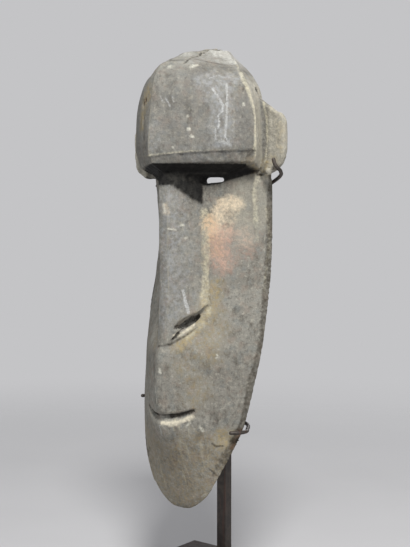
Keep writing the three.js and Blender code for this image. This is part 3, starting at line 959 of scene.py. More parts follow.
# Stains, wear, painted shade and painted light laid on the face
STAINS_AND_PAINTED_LIGHT = {
    "cream": strokes(
        (6.2, 1.0, 34, 390, 35, 400, 37, 410, 41, 417, 47, 420, 51, 417),
        (8.0, 0.5, 46, 406, 42, 395, 38, 386), (5.0, 0.55, 30, 394, 33, 406),
        (4.0, 0.5, 2, 414, 3, 408),
    ),
    "band": strokes(
        (3.2, 1.0, 26, 410, 27, 380, 27, 350, 29, 320, 32, 304), (6.0, 0.6, 31, 304, 26, 290, 20, 280),
    ),
    "red_earth": strokes(
        (10.0, 0.85, 41, 386, 40, 370, 41, 352), (11.0, 0.4, 46, 388, 57, 384, 57, 368),
    ),
    "orange_earth": strokes(
        (5.6, 0.75, 30, 400, 32, 390, 34, 378, 36, 366),
    ),
    # painted light on the outer right cheek
    "cheek_painted_light": strokes(
        (9.0, 1.0, 58, 438, 56, 407, 57, 380), (6.0, 0.8, 69, 440, 68, 395),
    ),
    "scrape": upright_scrapes(),
    "ochre": strokes(
        (7.0, 0.8, 36, 334, 35, 320, 34, 308, 28, 292, 22, 279, 16, 270), (8.0, 0.9, 54, 179, 53, 172),
        (9.0, 0.9, -12, 530, -20, 516, -26, 500), (7.0, 0.4, 96, 497, 99, 484, 98, 472),
        (14.0, 0.5, 34, 300, 40, 286, 38, 262), (12.0, 0.4, 20, 250, 34, 232, 30, 214),
        (7.0, 0.6, 88, 462, 78, 458, 70, 452),
    ),
    # pale worn edges, with painted highlights along the brow's right edge and along the top of the bevel
    "arris": strokes(
        (1.7, 1.0, 59, 553, 70, 537, 76, 524, 81, 505, 82, 484, 79, 459), (1.7, 0.7, 46, 565, 59, 553),
        (2.2, 0.8, 69, 445, 66, 428, 66, 398), (2.0, 0.4, 66, 398, 67, 378),
        (1.7, 0.6, 73, 412, 75, 374, 75, 347, 76, 325),
        (1.3, 0.8, -4, 464.5, 8, 465.5, 19, 467.5, 35, 469), (1.3, 0.35, 35, 469, 62, 471),
        (2.4, 0.4, -73, 531, -80, 508, -82, 470),
    ),
    "chalk": strokes(
        (1.2, 0.75, 49, 532, 55, 522, 58, 514, 58, 509, 55, 504, 56, 498, 55, 491),
        (1.2, 0.75, 57, 538, 60, 526, 61, 517, 61, 498, 60, 483, 63, 477), (1.0, 0.6, 58, 515, 61, 517),
        (2.6, 0.55, 57, 479, 64, 475), (1.1, 0.5, 53, 492, 53, 480), (1.0, 0.4, 57, 492, 57, 481),
        (1.2, 0.4, 44, 543, 48, 546, 57, 544), (1.2, 0.65, 8, 524, 11, 518),
        (1.2, 0.7, 13, 522, 17, 514), (1.1, 0.45, 18, 525, 20, 518),
        (1.3, 1.0, 15, 328, 17, 317, 20, 304), (1.8, 0.6, -1, 188, -1, 178),
    ),
    # a pale wash round the chalk marks and over the brow's lower edge, and painted light down the nose's
    # front
    "pale_wash_and_painted_light": strokes(
        (9.0, 1.0, 42, 541, 56, 541), (10.0, 0.8, 50, 536, 58, 512, 58, 478),
        (14.0, 0.35, 4, 470, 4, 490), (16.0, 0.65, 4, 425, 4, 300), (9.0, 0.4, 30, 466, 64, 468),
    ),
    "pale_cut": strokes(
        (7.0, 1.0, 20, 580, 34, 574, 46, 566), (5.0, 0.7, 0, 576, 8, 572),
    ),
    "speck": strokes(
        (1.7, 0.7, 32, 504, 32, 503), (2.0, 1.0, 33, 491, 33, 490), (2.0, 0.9, 35, 484, 36, 483),
        (1.6, 0.6, 20, 473, 20, 472), (1.4, 0.6, 72, 518, 72, 515), (1.6, 0.35, 97, 505, 96, 490),
        (1.6, 0.3, 90, 495, 89, 483), (1.4, 0.4, 101, 486, 100, 478), (2.6, 0.8, 0, 416, 2, 408),
        (1.8, 0.8, 14, 395, 14, 394), (1.5, 0.8, 6, 391, 10, 390), (1.8, 0.8, 16, 382, 16, 381),
        (3.2, 0.7, 26, 557, 26, 556), (3.6, 0.55, 8, 556, 9, 555), (2.0, 0.8, 2, 247, 3, 243),
        (2.0, 0.7, -6, 241, -6, 238), (1.5, 0.6, -5, 229, -5, 222), (1.5, 0.55, -3, 217, -2, 212),
        (2.2, 0.6, 24, 188, 27, 192), (2.2, 0.7, 36, 187, 37, 183), (1.8, 0.6, 47, 262, 47, 258),
        (1.6, 0.6, 62, 304, 62, 303), (2.4, 0.4, 30, 112, 34, 116),
    ),
    "lip": strokes(
        (2.8, 0.9, 2, 191.4, 10, 190.8), (4.0, 1.0, 10, 190.8, 19, 192.6, 28, 197.6),
        (2.8, 0.8, 12, 281, 16, 285, 21, 291),
    ),
    # painted shadow: dark lines in the mouth's slit and under the nose's lower edge
    "shadow_lines": strokes(
        (2.0, 0.9, -29, 205.6, -16, 200.6, 0, 199, 16, 200, 29, 205),
        (2.4, 0.9, -4, 270, 8, 272, 14, 278), (2.0, 0.7, 16, 279, 25, 289),
    ),
    # painted shade: a grey veil over the brow and a darker zone beside its right edge
    "brow_painted_shade": strokes(
        (30.0, 0.8, 26, 540, 24, 505, 28, 478), (24.0, 0.8, -24, 535, -40, 505, -44, 475),
        (6.5, 1.0, 71, 522, 74, 500, 73, 476), (8.0, 0.7, 36, 548, 14, 540),
    ),
    # painted shade: dark lines in the chin's nicks, in the crack at the top and in the crease round the
    # crown
    "crack_and_nick_shade": strokes(
        (1.6, 1.0, 44, 170, 47, 167, 52, 167.5), (1.8, 0.8, 40, 142, 43, 140, 46, 136),
        (1.4, 0.9, 11, 588, 14, 582, 13, 577, 17, 571, 15, 566),
        (1.3, 0.6, -6, 574, 4, 563, 20, 566, 34, 562, 44, 560), (1.2, 0.5, 44, 560, 52, 562, 50, 570),
    ),
    "rust": strokes(
        (5.0, 1.0, 66, 182, 64, 174, 60, 166), (4.0, 0.9, -21, 521, -15, 522),
        (3.5, 0.6, 90, 452, 94, 455),
    ),
}
SOFT_STAINS_AND_PAINTED_LIGHT = ("cream", "red_earth", "orange_earth", "cheek_painted_light", "pale_wash_and_painted_light", "brow_painted_shade", "ochre")
MIRRORED_STAINS = ("cream", "band", "red_earth", "ochre")
STROKE_FADE = 1.25
SOFT_STROKE_FADE = 1.9
STROKE_RAGGEDNESS = (0.9, 9.0)
STROKE_SEED = 31
STROKE_FACING = (-0.1, 0.25)
FAR_SIDE_SHARE = 0.4
FAR_SIDE_TOP = 440
# Painted shadow of the brow: out from the middle against the height above which the wood is painted dark as
# the brow's cast shadow
NOSE_SHADOW_EDGE = ([-27, -20, -8, 2, 11, 18, 26], [428, 438, 450, 440, 431, 422, 414])
CHEEK_SHADOW_EDGE = ([24, 33, 43, 54, 64, 74, 80], [436.5, 437.5, 440, 444, 447.5, 451, 454])
NOSE_START = (33.0, 38.0)
NOSE_HALF_WIDTH = 28
NOSE_SHADOW_FADE = (-4.0, 6.0)
CHEEK_SHADOW_FADE = (-2.0, 1.5)
INNER_CHEEK = 40
INNER_CHEEK_SHADOW = 0.3
INNER_CHEEK_FADE = (-12.0, -1.0)
SHADOW_SIDE_FADE = (64, 76)
SHADOW_BEHIND = -2
SHADOW_TOP = 457.0
# Worn edges: rounds of averaging that show them, and how far they stand out
SHARP_EDGE = (2, (0.05, 0.30), 0.45)
BROAD_EDGE = (8, (0.25, 1.4), 0.7)
EDGE_WEAR_IN_HOLLOW = 0.3
# Painted shade in creases and hollows: rounds of averaging that find them, and the range from none to full;
# less of it beside the nose and by the ears
CREASE_SHADE = (6, (0.10, 0.8))
BESIDE_NOSE = (27.0, 9.0)
BESIDE_NOSE_HEIGHTS = (296, 414)
LESS_SHADE_BESIDE_NOSE = 0.8
BY_EARS = (66, 72)
BY_EARS_FOOT = 455
LESS_SHADE_BY_EARS = 0.65
# Darker along the back rim's outer edge: its reach, raggedness, foot and top
RIM_DARKENING = (3.0, 7.0)
RIM_DARKENING_RAGGEDNESS = (3.0, 20.0)
RIM_DARKENING_FOOT = (122.0, 165.0)
RIM_DARKENING_TOP = 450
CROWN_FADE = (552, 566)
CROWN_RAGGEDNESS = (10, 14.0)
SPLIT_PART = (6, 24)
UNSPLIT_SHARE = 0.4
CHIN_FADE = (150, 205)
CHIN_RAGGEDNESS = (30, 30.0)
FLANK_TURN = (0.72, 0.95)
FLANK_FOOT = 440
FLANK_REACH = 84
EAR_TONE = (80, 86)
EAR_TONE_SHARE = 0.8
# Painted shade on the brow's down-facing underside, partly a dark stain: how far down it faces, its height
# and reach, and where it thins towards the corner
UNDERSIDE_TURN = (0.55, 0.9)
UNDERSIDE_PLACE = (450, 20)
UNDERSIDE_CORNER = (62, 74)
UNDERSIDE_CORNER_LESS_SHADE = 0.7


def store(mesh, name, values):
    attribute = mesh.attributes.new(name, "FLOAT", "POINT")
    attribute.data.foreach_set("value", values.astype(np.float32))


def stain_and_light_mask(wood, name, mottle, facing):
    x, _, z = wood.places.T
    fade = SOFT_STROKE_FADE if name in SOFT_STAINS_AND_PAINTED_LIGHT else STROKE_FADE
    ragged = uneven(wood, mottle, *STROKE_RAGGEDNESS)
    total = np.zeros(len(x))
    for points, half_width, strength in STAINS_AND_PAINTED_LIGHT[name]:
        away = distance_to_line(points, x, z) / half_width
        total = np.maximum(total, strength * (1 - smooth_step(away + ragged, 0.0, fade)))
    return total * facing


def brow_shadow(wood, outside):
    """Painted shadow cast by the brow: high on the nose and its flanks, and along the tops of the cheeks.
    """
    x, y, z = wood.places.T
    on_nose = smooth_step(-y, *NOSE_START) * (abs(x) < NOSE_HALF_WIDTH)
    nose = smooth_step(z - np.interp(x, *NOSE_SHADOW_EDGE), *NOSE_SHADOW_FADE) * on_nose
    above = z - np.interp(abs(x), *CHEEK_SHADOW_EDGE)
    cheek = smooth_step(above, *CHEEK_SHADOW_FADE)
    cheek += INNER_CHEEK_SHADOW * smooth_step(above, *INNER_CHEEK_FADE) * (abs(x) < INNER_CHEEK)
    before = (1 - smooth_step(abs(x), *SHADOW_SIDE_FADE)) * (y < SHADOW_BEHIND) * (z < SHADOW_TOP)
    return outside * before * np.clip(np.maximum(nose, cheek), 0.0, 1.0)


def paint_wear_and_shade(wood, inside):
    """Stores where the wood is worn, soiled or coloured, and where shade and light are painted on it, one
    value for each vertex.
    """
    x, y, z = wood.places.T
    mottle = Mottle(STROKE_SEED)
    outside = 1.0 - inside
    facing = outside * smooth_step(-wood.normals[:, 1], *STROKE_FACING)
    wear_and_shade = {}
    for name in STAINS_AND_PAINTED_LIGHT:
        wear_and_shade[name] = stain_and_light_mask(wood, name, mottle, facing)
        if name in MIRRORED_STAINS:
            wood.places[:, 0] *= -1
            other = stain_and_light_mask(wood, name, mottle, facing)
            wood.places[:, 0] *= -1
            wear_and_shade[name] = np.maximum(wear_and_shade[name], FAR_SIDE_SHARE * other * (z < FAR_SIDE_TOP))

    def standing_out(rounds, limits, share):
        return share * smooth_step(wood.bend(rounds), *limits)

    worn = standing_out(*SHARP_EDGE) + standing_out(*BROAD_EDGE)
    wear_and_shade["edge"] = worn * (EDGE_WEAR_IN_HOLLOW + (1 - EDGE_WEAR_IN_HOLLOW) * outside)
    low, high = BESIDE_NOSE_HEIGHTS
    beside_nose = bump(abs(x), *BESIDE_NOSE) * (z > low) * (z < high)
    by_ears = smooth_step(abs(x), *BY_EARS) * (z > BY_EARS_FOOT)
    shallow = 1.0 - LESS_SHADE_BESIDE_NOSE * beside_nose - LESS_SHADE_BY_EARS * by_ears
    rounds, limits = CREASE_SHADE
    # painted shade in creases, less of it beside the nose and by the ears
    wear_and_shade["crease_shade"] = shallow * smooth_step(-wood.bend(rounds), *limits)
    # painted shadow of the brow on the nose and the tops of the cheeks
    wear_and_shade["shade"] = brow_shadow(wood, outside)
    wear_and_shade["inside"] = inside
    rim_ahead = row_values(FACE_ROWS, z)[:, -1]
    from_rim = forward(y) - rim_ahead + uneven(wood, mottle, *RIM_DARKENING_RAGGEDNESS)
    rim_band = smooth_step(z, *RIM_DARKENING_FOOT) * (z < RIM_DARKENING_TOP)
    wear_and_shade["rim"] = outside * rim_band * (1 - smooth_step(from_rim, *RIM_DARKENING))
    split = UNSPLIT_SHARE + (1 - UNSPLIT_SHARE) * smooth_step(x, *SPLIT_PART)
    height = z + uneven(wood, mottle, *CROWN_RAGGEDNESS)
    wear_and_shade["crown"] = split * outside * smooth_step(height, *CROWN_FADE)
    height = z + uneven(wood, mottle, *CHIN_RAGGEDNESS)
    wear_and_shade["chin"] = outside * (1 - smooth_step(height, *CHIN_FADE))
    flank = smooth_step(wood.normals[:, 0], *FLANK_TURN) * (z > FLANK_FOOT) * (abs(x) < FLANK_REACH)
    wear_and_shade["flank"] = outside * (flank + smooth_step(abs(x), *EAR_TONE) * EAR_TONE_SHARE)
    # painted shade under the brow, partly a dark stain, less of it towards the corner
    corner = 1.0 - UNDERSIDE_CORNER_LESS_SHADE * smooth_step(x, *UNDERSIDE_CORNER)
    facing_down = smooth_step(-wood.normals[:, 2], *UNDERSIDE_TURN)
    wear_and_shade["underside"] = corner * outside * facing_down * bump(z, *UNDERSIDE_PLACE)
    for name, values in wear_and_shade.items():
        store(wood.mesh, name, np.clip(values, 0.0, 1.0))


def tone(red, green, blue):
    """A colour as the eye reads it, 0 to 255, in the linear values that light works with."""
    parts = [channel / 255.0 for channel in (red, green, blue)]
    return tuple(
        part / 12.92 if part <= 0.04045 else ((part + 0.055) / 1.055) ** 2.4 for part in parts
    ) + (1.0,)


def node(tree, kind, inputs=None, **settings):
    """A node with its settings, and its inputs given as values or as sockets to link."""
    made = tree.nodes.new(kind)
    for name, value in settings.items():
        setattr(made, name, value)
    for name, value in (inputs or {}).items():
        if isinstance(value, bpy.types.NodeSocket):
            tree.links.new(value, made.inputs[name])
        else:
            made.inputs[name].default_value = value
    return made


def sums(tree, operation, first, second, clamp=False):
    made = node(tree, "ShaderNodeMath", {0: first, 1: second}, operation=operation, use_clamp=clamp)
    return made.outputs[0]


def weighted(tree, *parts):
    """The sum of the fields, each times its share."""
    total = None
    for field, share in parts:
        part = field if share == 1.0 else sums(tree, "MULTIPLY", field, share)
        total = part if total is None else sums(tree, "ADD", total, part)
    return total


def ranged(tree, value, low, high, new_low=0.0, new_high=1.0):
    return node(tree, "ShaderNodeMapRange", {
        "Value": value, "From Min": low, "From Max": high, "To Min": new_low, "To Max": new_high,
    }, interpolation_type="SMOOTHSTEP").outputs[0]


def mixed(tree, factor, first, second):
    return node(tree, "ShaderNodeMix", {0: factor, 6: first, 7: second}, data_type="RGBA").outputs[2]


def over(tree, ground, field, low, high, cover, colour):
    """Lays a colour over the ground, more and more from the field's low value to its high one."""
    return mixed(tree, ranged(tree, field, low, high, 0.0, cover), ground, colour)


def object_places(tree):
    return node(tree, "ShaderNodeTexCoord").outputs["Object"]


def noise_at(tree, vector, size, detail=3.0, roughness=0.55):
    return node(tree, "ShaderNodeTexNoise", {
        "Vector": vector, "Scale": 1.0 / size, "Detail": detail, "Roughness": roughness,
    }).outputs["Fac"]


def stretched(tree, vector, scale, turn=(0.0, 0.0, 0.0)):
    return node(tree, "ShaderNodeMapping", {
        "Vector": vector, "Scale": scale, "Rotation": turn,
    }).outputs[0]


def noises(tree, table):
    """Noise fields by name, from rows of size, detail, roughness, stretch and turn."""
    where = object_places(tree)
    return {
        name: noise_at(tree, stretched(tree, where, *shape) if shape else where, size, detail, roughness)
        for name, (size, detail, roughness, *shape) in table.items()
    }


def group(name, inputs, outputs):
    tree = bpy.data.node_groups.new(name, "ShaderNodeTree")
    kinds = {"f": "NodeSocketFloat", "c": "NodeSocketColor"}
    for label, kind, value in inputs:
        socket = tree.interface.new_socket(label, in_out="INPUT", socket_type=kinds[kind])
        socket.default_value = value
    for label, kind in outputs:
        tree.interface.new_socket(label, in_out="OUTPUT", socket_type=kinds[kind])
    return tree, tree.nodes.new("NodeGroupInput").outputs, tree.nodes.new("NodeGroupOutput").inputs


# The layer's breaks: detail, roughness, values from a hole to full, and how much they move its edge
BREAK_DETAIL = 5.0
BREAK_ROUGHNESS = 0.68
BREAK_HOLES = (0.66, 0.38)
BREAK_SHIFT = 0.9
LAYER_EDGE = (0.05, 0.95)
LAYER_PRESENT = (0.0, 0.25)


def stain_and_shade_group():
    """A soft layer for stains, wear, painted shade and painted light: a mask whose edge and body are broken
    up by the wood's own texture.
    """
    tree, given, out = group("Stain and painted shade", [
        (name, "f", 0.0) for name in ("Mask", "Breakup Size", "Breakup", "Cover")
    ], [("Factor", "f")])
    broken = node(tree, "ShaderNodeTexNoise", {
        "Vector": object_places(tree), "Scale": sums(tree, "DIVIDE", 1.0, given["Breakup Size"]),
        "Detail": BREAK_DETAIL, "Roughness": BREAK_ROUGHNESS,
    }).outputs["Fac"]
    holes = sums(tree, "MULTIPLY", ranged(tree, broken, *BREAK_HOLES), given["Breakup"])
    kept = sums(tree, "SUBTRACT", 1.0, holes)
    shift = sums(tree, "MULTIPLY", sums(tree, "SUBTRACT", broken, 0.5), BREAK_SHIFT)
    lifted = ranged(tree, sums(tree, "ADD", given["Mask"], shift), *LAYER_EDGE)
    present = ranged(tree, given["Mask"], *LAYER_PRESENT)
    factor = sums(tree, "MULTIPLY", sums(tree, "MULTIPLY", lifted, present), kept)
    tree.links.new(sums(tree, "MULTIPLY", factor, given["Cover"], True), out["Factor"])
    return tree


# Noise fields of the dry wood: size in metres, detail, roughness, stretch and turn
PATINA_NOISES = {
    "clouds": (0.055, 4.0, 0.6),
    "blotches": (0.012, 5.0, 0.65, (1.0, 1.0, 0.6), (0.2, 0.1, 0.0)),
    "flecks": (0.0040, 3.0, 0.7),
    "hue": (0.009, 2.0, 0.6),
    "grain": (0.0030, 4.0, 0.6, (1.0, 1.0, 0.10), (0.02, -0.03, 0.0)),
    "speckle": (0.0016, 3.0, 0.7),
}
# Layers from the ground up: noise field, its values from none to full, cover, colour
PATINA_LAYERS = [
    ("clouds", 0.38, 0.62, 1.0, "Light"),
    ("blotches", 0.52, 0.70, 0.65, "Dark"), ("blotches", 0.46, 0.30, 0.6, "Light"),
    ("flecks", 0.52, 0.66, 0.48, "Dark"), ("flecks", 0.46, 0.33, 0.40, "Pale"),
    ("hue", 0.54, 0.66, 0.35, "Cool"), ("hue", 0.46, 0.34, 0.35, "Warm"),
    ("grain", 0.54, 0.70, 0.16, "Dark"),
    ("speckle", 0.58, 0.70, 0.42, "Pale"), ("speckle", 0.42, 0.30, 0.50, "Dark"),
]
# Roughness of a surface: from which to which value of a noise field, and what it gives there
PATINA_ROUGHNESS = (0.3, 0.7, 0.62, 0.88)
STEEL_ROUGHNESS = (0.3, 0.7, 0.38, 0.62)
BLOCK_ROUGHNESS = (0.35, 0.7, 0.40, 0.62)
# Bump of a surface: depth in metres and strength
WOOD_BUMP = (0.0010, 0.85)
STEEL_BUMP = (0.0002, 0.5)
BLOCK_BUMP = (0.0003, 0.4)
PATINA_RELIEF = [("grain", 0.5), ("speckle", 0.35), ("flecks", 0.9), ("blotches", 1.1)]
PATINA_COLOURS = {
    "Light": (142, 140, 132), "Middle": (126, 123, 115), "Dark": (80, 76, 69),
    "Pale": (180, 176, 162), "Cool": (120, 125, 124), "Warm": (140, 126, 114),
}


def patina_group():
    """The dry, mottled ground of old wood: soft clouds, grain up the height and fine speckle."""
    tree, given, out = group("Dry patina", [
        (name, "c", tone(*colour)) for name, colour in PATINA_COLOURS.items()
    ], [("Color", "c"), ("Height", "f"), ("Roughness", "f")])
    fields = noises(tree, PATINA_NOISES)
    ground = given["Middle"]
    for name, low, high, cover, colour in PATINA_LAYERS:
        ground = over(tree, ground, fields[name], low, high, cover, given[colour])
    tree.links.new(ground, out["Color"])
    relief = weighted(tree, *((fields[name], share) for name, share in PATINA_RELIEF))
    tree.links.new(relief, out["Height"])
    tree.links.new(ranged(tree, fields["blotches"], *PATINA_ROUGHNESS), out["Roughness"])
    return tree


WOOD_SHEEN = 0.28
# Stains, wear, painted shade and painted light in the order in which they lie: tone, size of their breaks
# in metres, how broken, cover
STAIN_AND_PAINTED_LIGHT_LOOKS = {
    "chin": ((140, 126, 98), 0.003, 0.9, 0.68),
    "flank": ((196, 191, 176), 0.004, 0.6, 0.82),
    # painted shade on the brow
    "brow_painted_shade": ((112, 112, 110), 0.006, 0.7, 0.60),
    # painted light on the outer right cheek
    "cheek_painted_light": ((190, 186, 170), 0.004, 0.7, 0.55),
    "crown": ((178, 177, 172), 0.004, 0.8, 0.60),
    # pale wash, with painted light on the nose's front
    "pale_wash_and_painted_light": ((166, 169, 172), 0.005, 0.7, 0.55),
    "ochre": ((172, 154, 112), 0.004, 0.7, 0.70),
    "band": ((206, 198, 170), 0.003, 0.7, 0.70),
    "cream": ((230, 212, 184), 0.003, 0.45, 0.88),
    "orange_earth": ((208, 168, 130), 0.003, 0.7, 0.62),
    "red_earth": ((202, 168, 150), 0.004, 0.6, 0.78),
    "scrape": ((176, 170, 148), 0.002, 0.6, 0.75),
    "edge": ((168, 162, 144), 0.004, 0.8, 0.60),
    "chalk": ((204, 206, 206), 0.0016, 0.6, 0.80),
    "speck": ((216, 214, 200), 0.0016, 0.4, 0.95),
    # pale worn edges, partly painted highlight
    "arris": ((206, 200, 176), 0.0025, 0.7, 0.80),
    # darker along the back rim
    "rim": ((66, 60, 51), 0.004, 0.45, 0.85),
    "pale_cut": ((198, 198, 192), 0.0022, 0.75, 0.85),
    "rust": ((88, 62, 42), 0.003, 0.5, 0.8),
    # painted shade in creases
    "crease_shade": ((40, 36, 30), 0.004, 0.35, 0.92),
    # painted shade under the brow, partly a dark stain
    "underside": ((36, 32, 28), 0.005, 0.2, 0.95),
    # painted shadow of the brow, near black
    "shade": ((10, 9, 8), 0.006, 0.08, 1.0),
    # painted shade in nicks, the crack and the crown's crease
    "crack_and_nick_shade": ((58, 52, 44), 0.002, 0.3, 0.85),
    "lip": ((222, 214, 192), 0.003, 0.35, 0.92),
    # painted shadow lines in the mouth and under the nose
    "shadow_lines": ((40, 36, 31), 0.003, 0.3, 0.90),
    "inside": ((124, 107, 84), 0.012, 0.5, 0.85),
}


def new_material(name):
    material = bpy.data.materials.new(name)
    material.use_nodes = True
    tree = material.node_tree
    return material, tree, tree.nodes["Principled BSDF"]


def finish_surface(tree, shader, color, roughness, height, depth, strength):
    relief = node(tree, "ShaderNodeBump", {"Height": height, "Distance": depth, "Strength": strength})
    for name, socket in (("Base Color", color), ("Roughness", roughness), ("Normal", relief.outputs[0])):
        tree.links.new(socket, shader.inputs[name])


def wood_material():
    material, tree, shader = new_material("Weathered carved wood")
    ground = node(tree, "ShaderNodeGroup", node_tree=patina_group()).outputs
    stain_and_shade = stain_and_shade_group()
    color = ground["Color"]
    for name, (colour, size, breakup, cover) in STAIN_AND_PAINTED_LIGHT_LOOKS.items():
        factor = node(tree, "ShaderNodeGroup", {
            "Mask": node(tree, "ShaderNodeAttribute", attribute_name=name).outputs["Fac"],
            "Breakup Size": size, "Breakup": breakup, "Cover": cover,
        }, node_tree=stain_and_shade).outputs["Factor"]
        color = mixed(tree, factor, color, tone(*colour))
    finish_surface(tree, shader, color, ground["Roughness"], ground["Height"], *WOOD_BUMP)
    shader.inputs["Specular IOR Level"].default_value = WOOD_SHEEN
    return material


# Cradle wires: places (out, forward, height), from the post outwards
WIRE_DIAMETER = 4.0
POST_SIDE = 12.0
POST_BEHIND_CENTRE = 35.0
POST_TOP = 424.0
WELD_GAP = 0.3
WIRE_AT_POST = RIM_BEHIND_CENTRE - POST_BEHIND_CENTRE + POST_SIDE / 2 + WIRE_DIAMETER / 2 + WELD_GAP
UPPER_WIRE_HEIGHT = 414.0
LOWER_WIRE_HEIGHT = 182.0
UPPER_NEAR_HOOK = [
    (30, WIRE_AT_POST + 0.5, 419), (58, WIRE_AT_POST + 1, 434), (77, -9.5, 443.5),
    (87.5, -1.5, 447.3), (93, 7, 449), (96, 13.5, 451), (96.2, 18.5, 453), (94.5, 20.8, 457), (93, 21, 463),
]
UPPER_FAR_HOOK = [
    (-30, WIRE_AT_POST + 0.5, 419), (-56, WIRE_AT_POST + 1, 430), (-70, -10, 436.5),
    (-77.2, -6, 439.5), (-79, -1.5, 440.5), (-76.8, 4.5, 441), (-75.8, 7, 441),
]
LOWER_NEAR_HOOK = [
    (26, WIRE_AT_POST + 1, 182), (50, 5, 182), (64, 25, 182), (69.8, 35, 182), (69.6, 42, 182),
    (66, 48.3, 182), (61, 53, 182),
]
LOWER_FAR_HOOK = [
    (-26, WIRE_AT_POST + 1, 188), (-50, 3, 198), (-66, 19, 203), (-72.8, 29.5, 204.5), (-73.6, 36.5, 205),
]
WIRE_RINGS = 260
WIRE_SIDES = 20
TIP_LENGTH = 1.6
TIP_ROUNDING = 0.72
WIRE_UNEVENNESS = 0.03
UNEVEN_SPAN = 9
THINNER = 0.02
STOP_STEPS = 24


def smooth_path(stops, count):
    """A centripetal curve through the stops, as even steps."""
    stops = np.array(stops, float)
    stops = np.vstack([2 * stops[0] - stops[1], stops, 2 * stops[-1] - stops[-2]])
    pieces = []
    for a, b, c, d in zip(stops[:-3], stops[1:-2], stops[2:-1], stops[3:]):
        knots = np.cumsum([0.0] + [np.linalg.norm(q - p) ** 0.5 for p, q in ((a, b), (b, c), (c, d))])
        t = np.linspace(knots[1], knots[2], STOP_STEPS, endpoint=False)[:, None]

        def blend(p, q, low, high):
            return ((knots[high] - t) * p + (t - knots[low]) * q) / (knots[high] - knots[low])

        ab, bc, cd = blend(a, b, 0, 1), blend(b, c, 1, 2), blend(c, d, 2, 3)
        pieces.append(blend(blend(ab, bc, 0, 2), blend(bc, cd, 1, 3), 1, 2))
    path = np.vstack(pieces + [stops[-2:-1]])
    walked = np.concatenate([[0.0], np.cumsum(np.linalg.norm(np.diff(path, axis=0), axis=1))])
    even = np.linspace(0.0, walked[-1], count)
    return np.stack([np.interp(even, walked, path[:, k]) for k in range(3)], axis=1), even


def wire_tree():
    """Geometry Nodes: a round wire along a line of points, with filed tips."""
    tree = bpy.data.node_groups.new("Bent wire", "GeometryNodeTree")
    sockets = {}
    for label, direction, kind in (
        ("Path", "INPUT", "Geometry"), ("Wire Diameter", "INPUT", "Float"), ("Sides", "INPUT", "Int"),
        ("Finish", "INPUT", "Material"), ("Wire", "OUTPUT", "Geometry"),
    ):
        made = tree.interface.new_socket(label, in_out=direction, socket_type="NodeSocket" + kind)
        sockets[label] = made.identifier
    given = tree.nodes.new("NodeGroupInput").outputs
    out = tree.nodes.new("NodeGroupOutput")
    line = node(tree, "GeometryNodeMeshToCurve", {"Mesh": given["Path"]})
    thick = node(tree, "GeometryNodeInputNamedAttribute", {"Name": "thickness"}, data_type="FLOAT")
    ring = node(tree, "GeometryNodeCurvePrimitiveCircle", {
        "Resolution": given["Sides"], "Radius": sums(tree, "MULTIPLY", given["Wire Diameter"], 0.5)})
    swept = node(tree, "GeometryNodeCurveToMesh", {
        "Curve": line.outputs[0], "Profile Curve": ring.outputs[0], "Scale": thick.outputs[0],
        "Fill Caps": True,
    })
    real = node(tree, "GeometryNodeRealizeInstances", {"Geometry": swept.outputs[0]})
    coated = node(tree, "GeometryNodeSetMaterial", {
        "Geometry": real.outputs[0], "Material": given["Finish"]})
    tree.links.new(coated.outputs[0], out.inputs["Wire"])
    return tree, sockets


def bent_wire(name, far_hook, middle_height, near_hook, finish):
    stops = far_hook[::-1] + [(0, WIRE_AT_POST, middle_height)] + near_hook
    path, walked = smooth_path([(out, forward(ahead), up) for out, ahead, up in stops], WIRE_RINGS)
    made = new_object(name, path * MM, [], [(index, index + 1) for index in range(len(path) - 1)])
    from_end = np.minimum(walked, walked[-1] - walked)
    tip = np.clip(from_end / TIP_LENGTH, 0.0, 1.0)
    chance = np.random.default_rng(len(name))
    wobble = chance.normal(0, WIRE_UNEVENNESS, len(tip) + UNEVEN_SPAN - 1)
    wobble = np.convolve(wobble, np.ones(UNEVEN_SPAN) / UNEVEN_SPAN, "valid")
    thickness = np.sqrt(1 - (1 - tip) ** 2 * TIP_ROUNDING) + wobble - THINNER
    store(made.data, "thickness", thickness)
    modifier = made.modifiers.new("Wire", "NODES")
    modifier.node_group = WIRE_TREE
    for label, value in (("Wire Diameter", WIRE_DIAMETER * MM), ("Sides", WIRE_SIDES), ("Finish", finish)):
        modifier[WIRE_SOCKETS[label]] = value
    baked(made)
    smooth_shaded(made)
    return made


WIRE_TREE, WIRE_SOCKETS = wire_tree()


STEEL_NOISES = {
    "clouds": (0.011, 5.0, 0.62),
    "fine": (0.0012, 4.0, 0.6),
    "drawn": (0.0016, 3.0, 0.5, (1.0, 1.0, 0.04)),
    "rusty": (0.0034, 3.0, 0.5, (1.0, 1.0, 0.06), (0.0, 0.0, 0.3)),
}
STEEL_METALLIC = 0.35
STEEL_GROUND = (56, 51, 48)
STEEL_LAYERS = [
    ("clouds", 0.36, 0.66, 1.0, (84, 77, 71)), ("fine", 0.60, 0.74, 0.6, (108, 96, 84)),
    ("drawn", 0.56, 0.70, 0.45, (34, 31, 30)), ("rusty", 0.54, 0.66, 0.5, (92, 66, 58)),
]
BLOCK_NOISES = {
    "grain": (0.0026, 5.0, 0.6, (0.08, 1.0, 1.0), (0.0, 0.0, 0.04)),
    "clouds": (0.03, 4.0, 0.55),
    "scuff": (0.004, 5.0, 0.7),
}
BLOCK_GROUND = (66, 52, 48)
BLOCK_LAYERS = [
    ("grain", 0.38, 0.66, 1.0, (46, 36, 33)), ("clouds", 0.45, 0.7, 0.5, (76, 62, 56)),
    ("scuff", 0.66, 0.76, 0.4, (104, 92, 84)),
]


def layered_material(name, table, ground, layers):
    """A material of noise layers over a ground tone, with its noise fields and its colour."""
    material, tree, shader = new_material(name)
    fields = noises(tree, table)
    color = tone(*ground)
    for field, low, high, cover, colour in layers:
        color = over(tree, color, fields[field], low, high, cover, tone(*colour))
    return material, tree, shader, fields, color


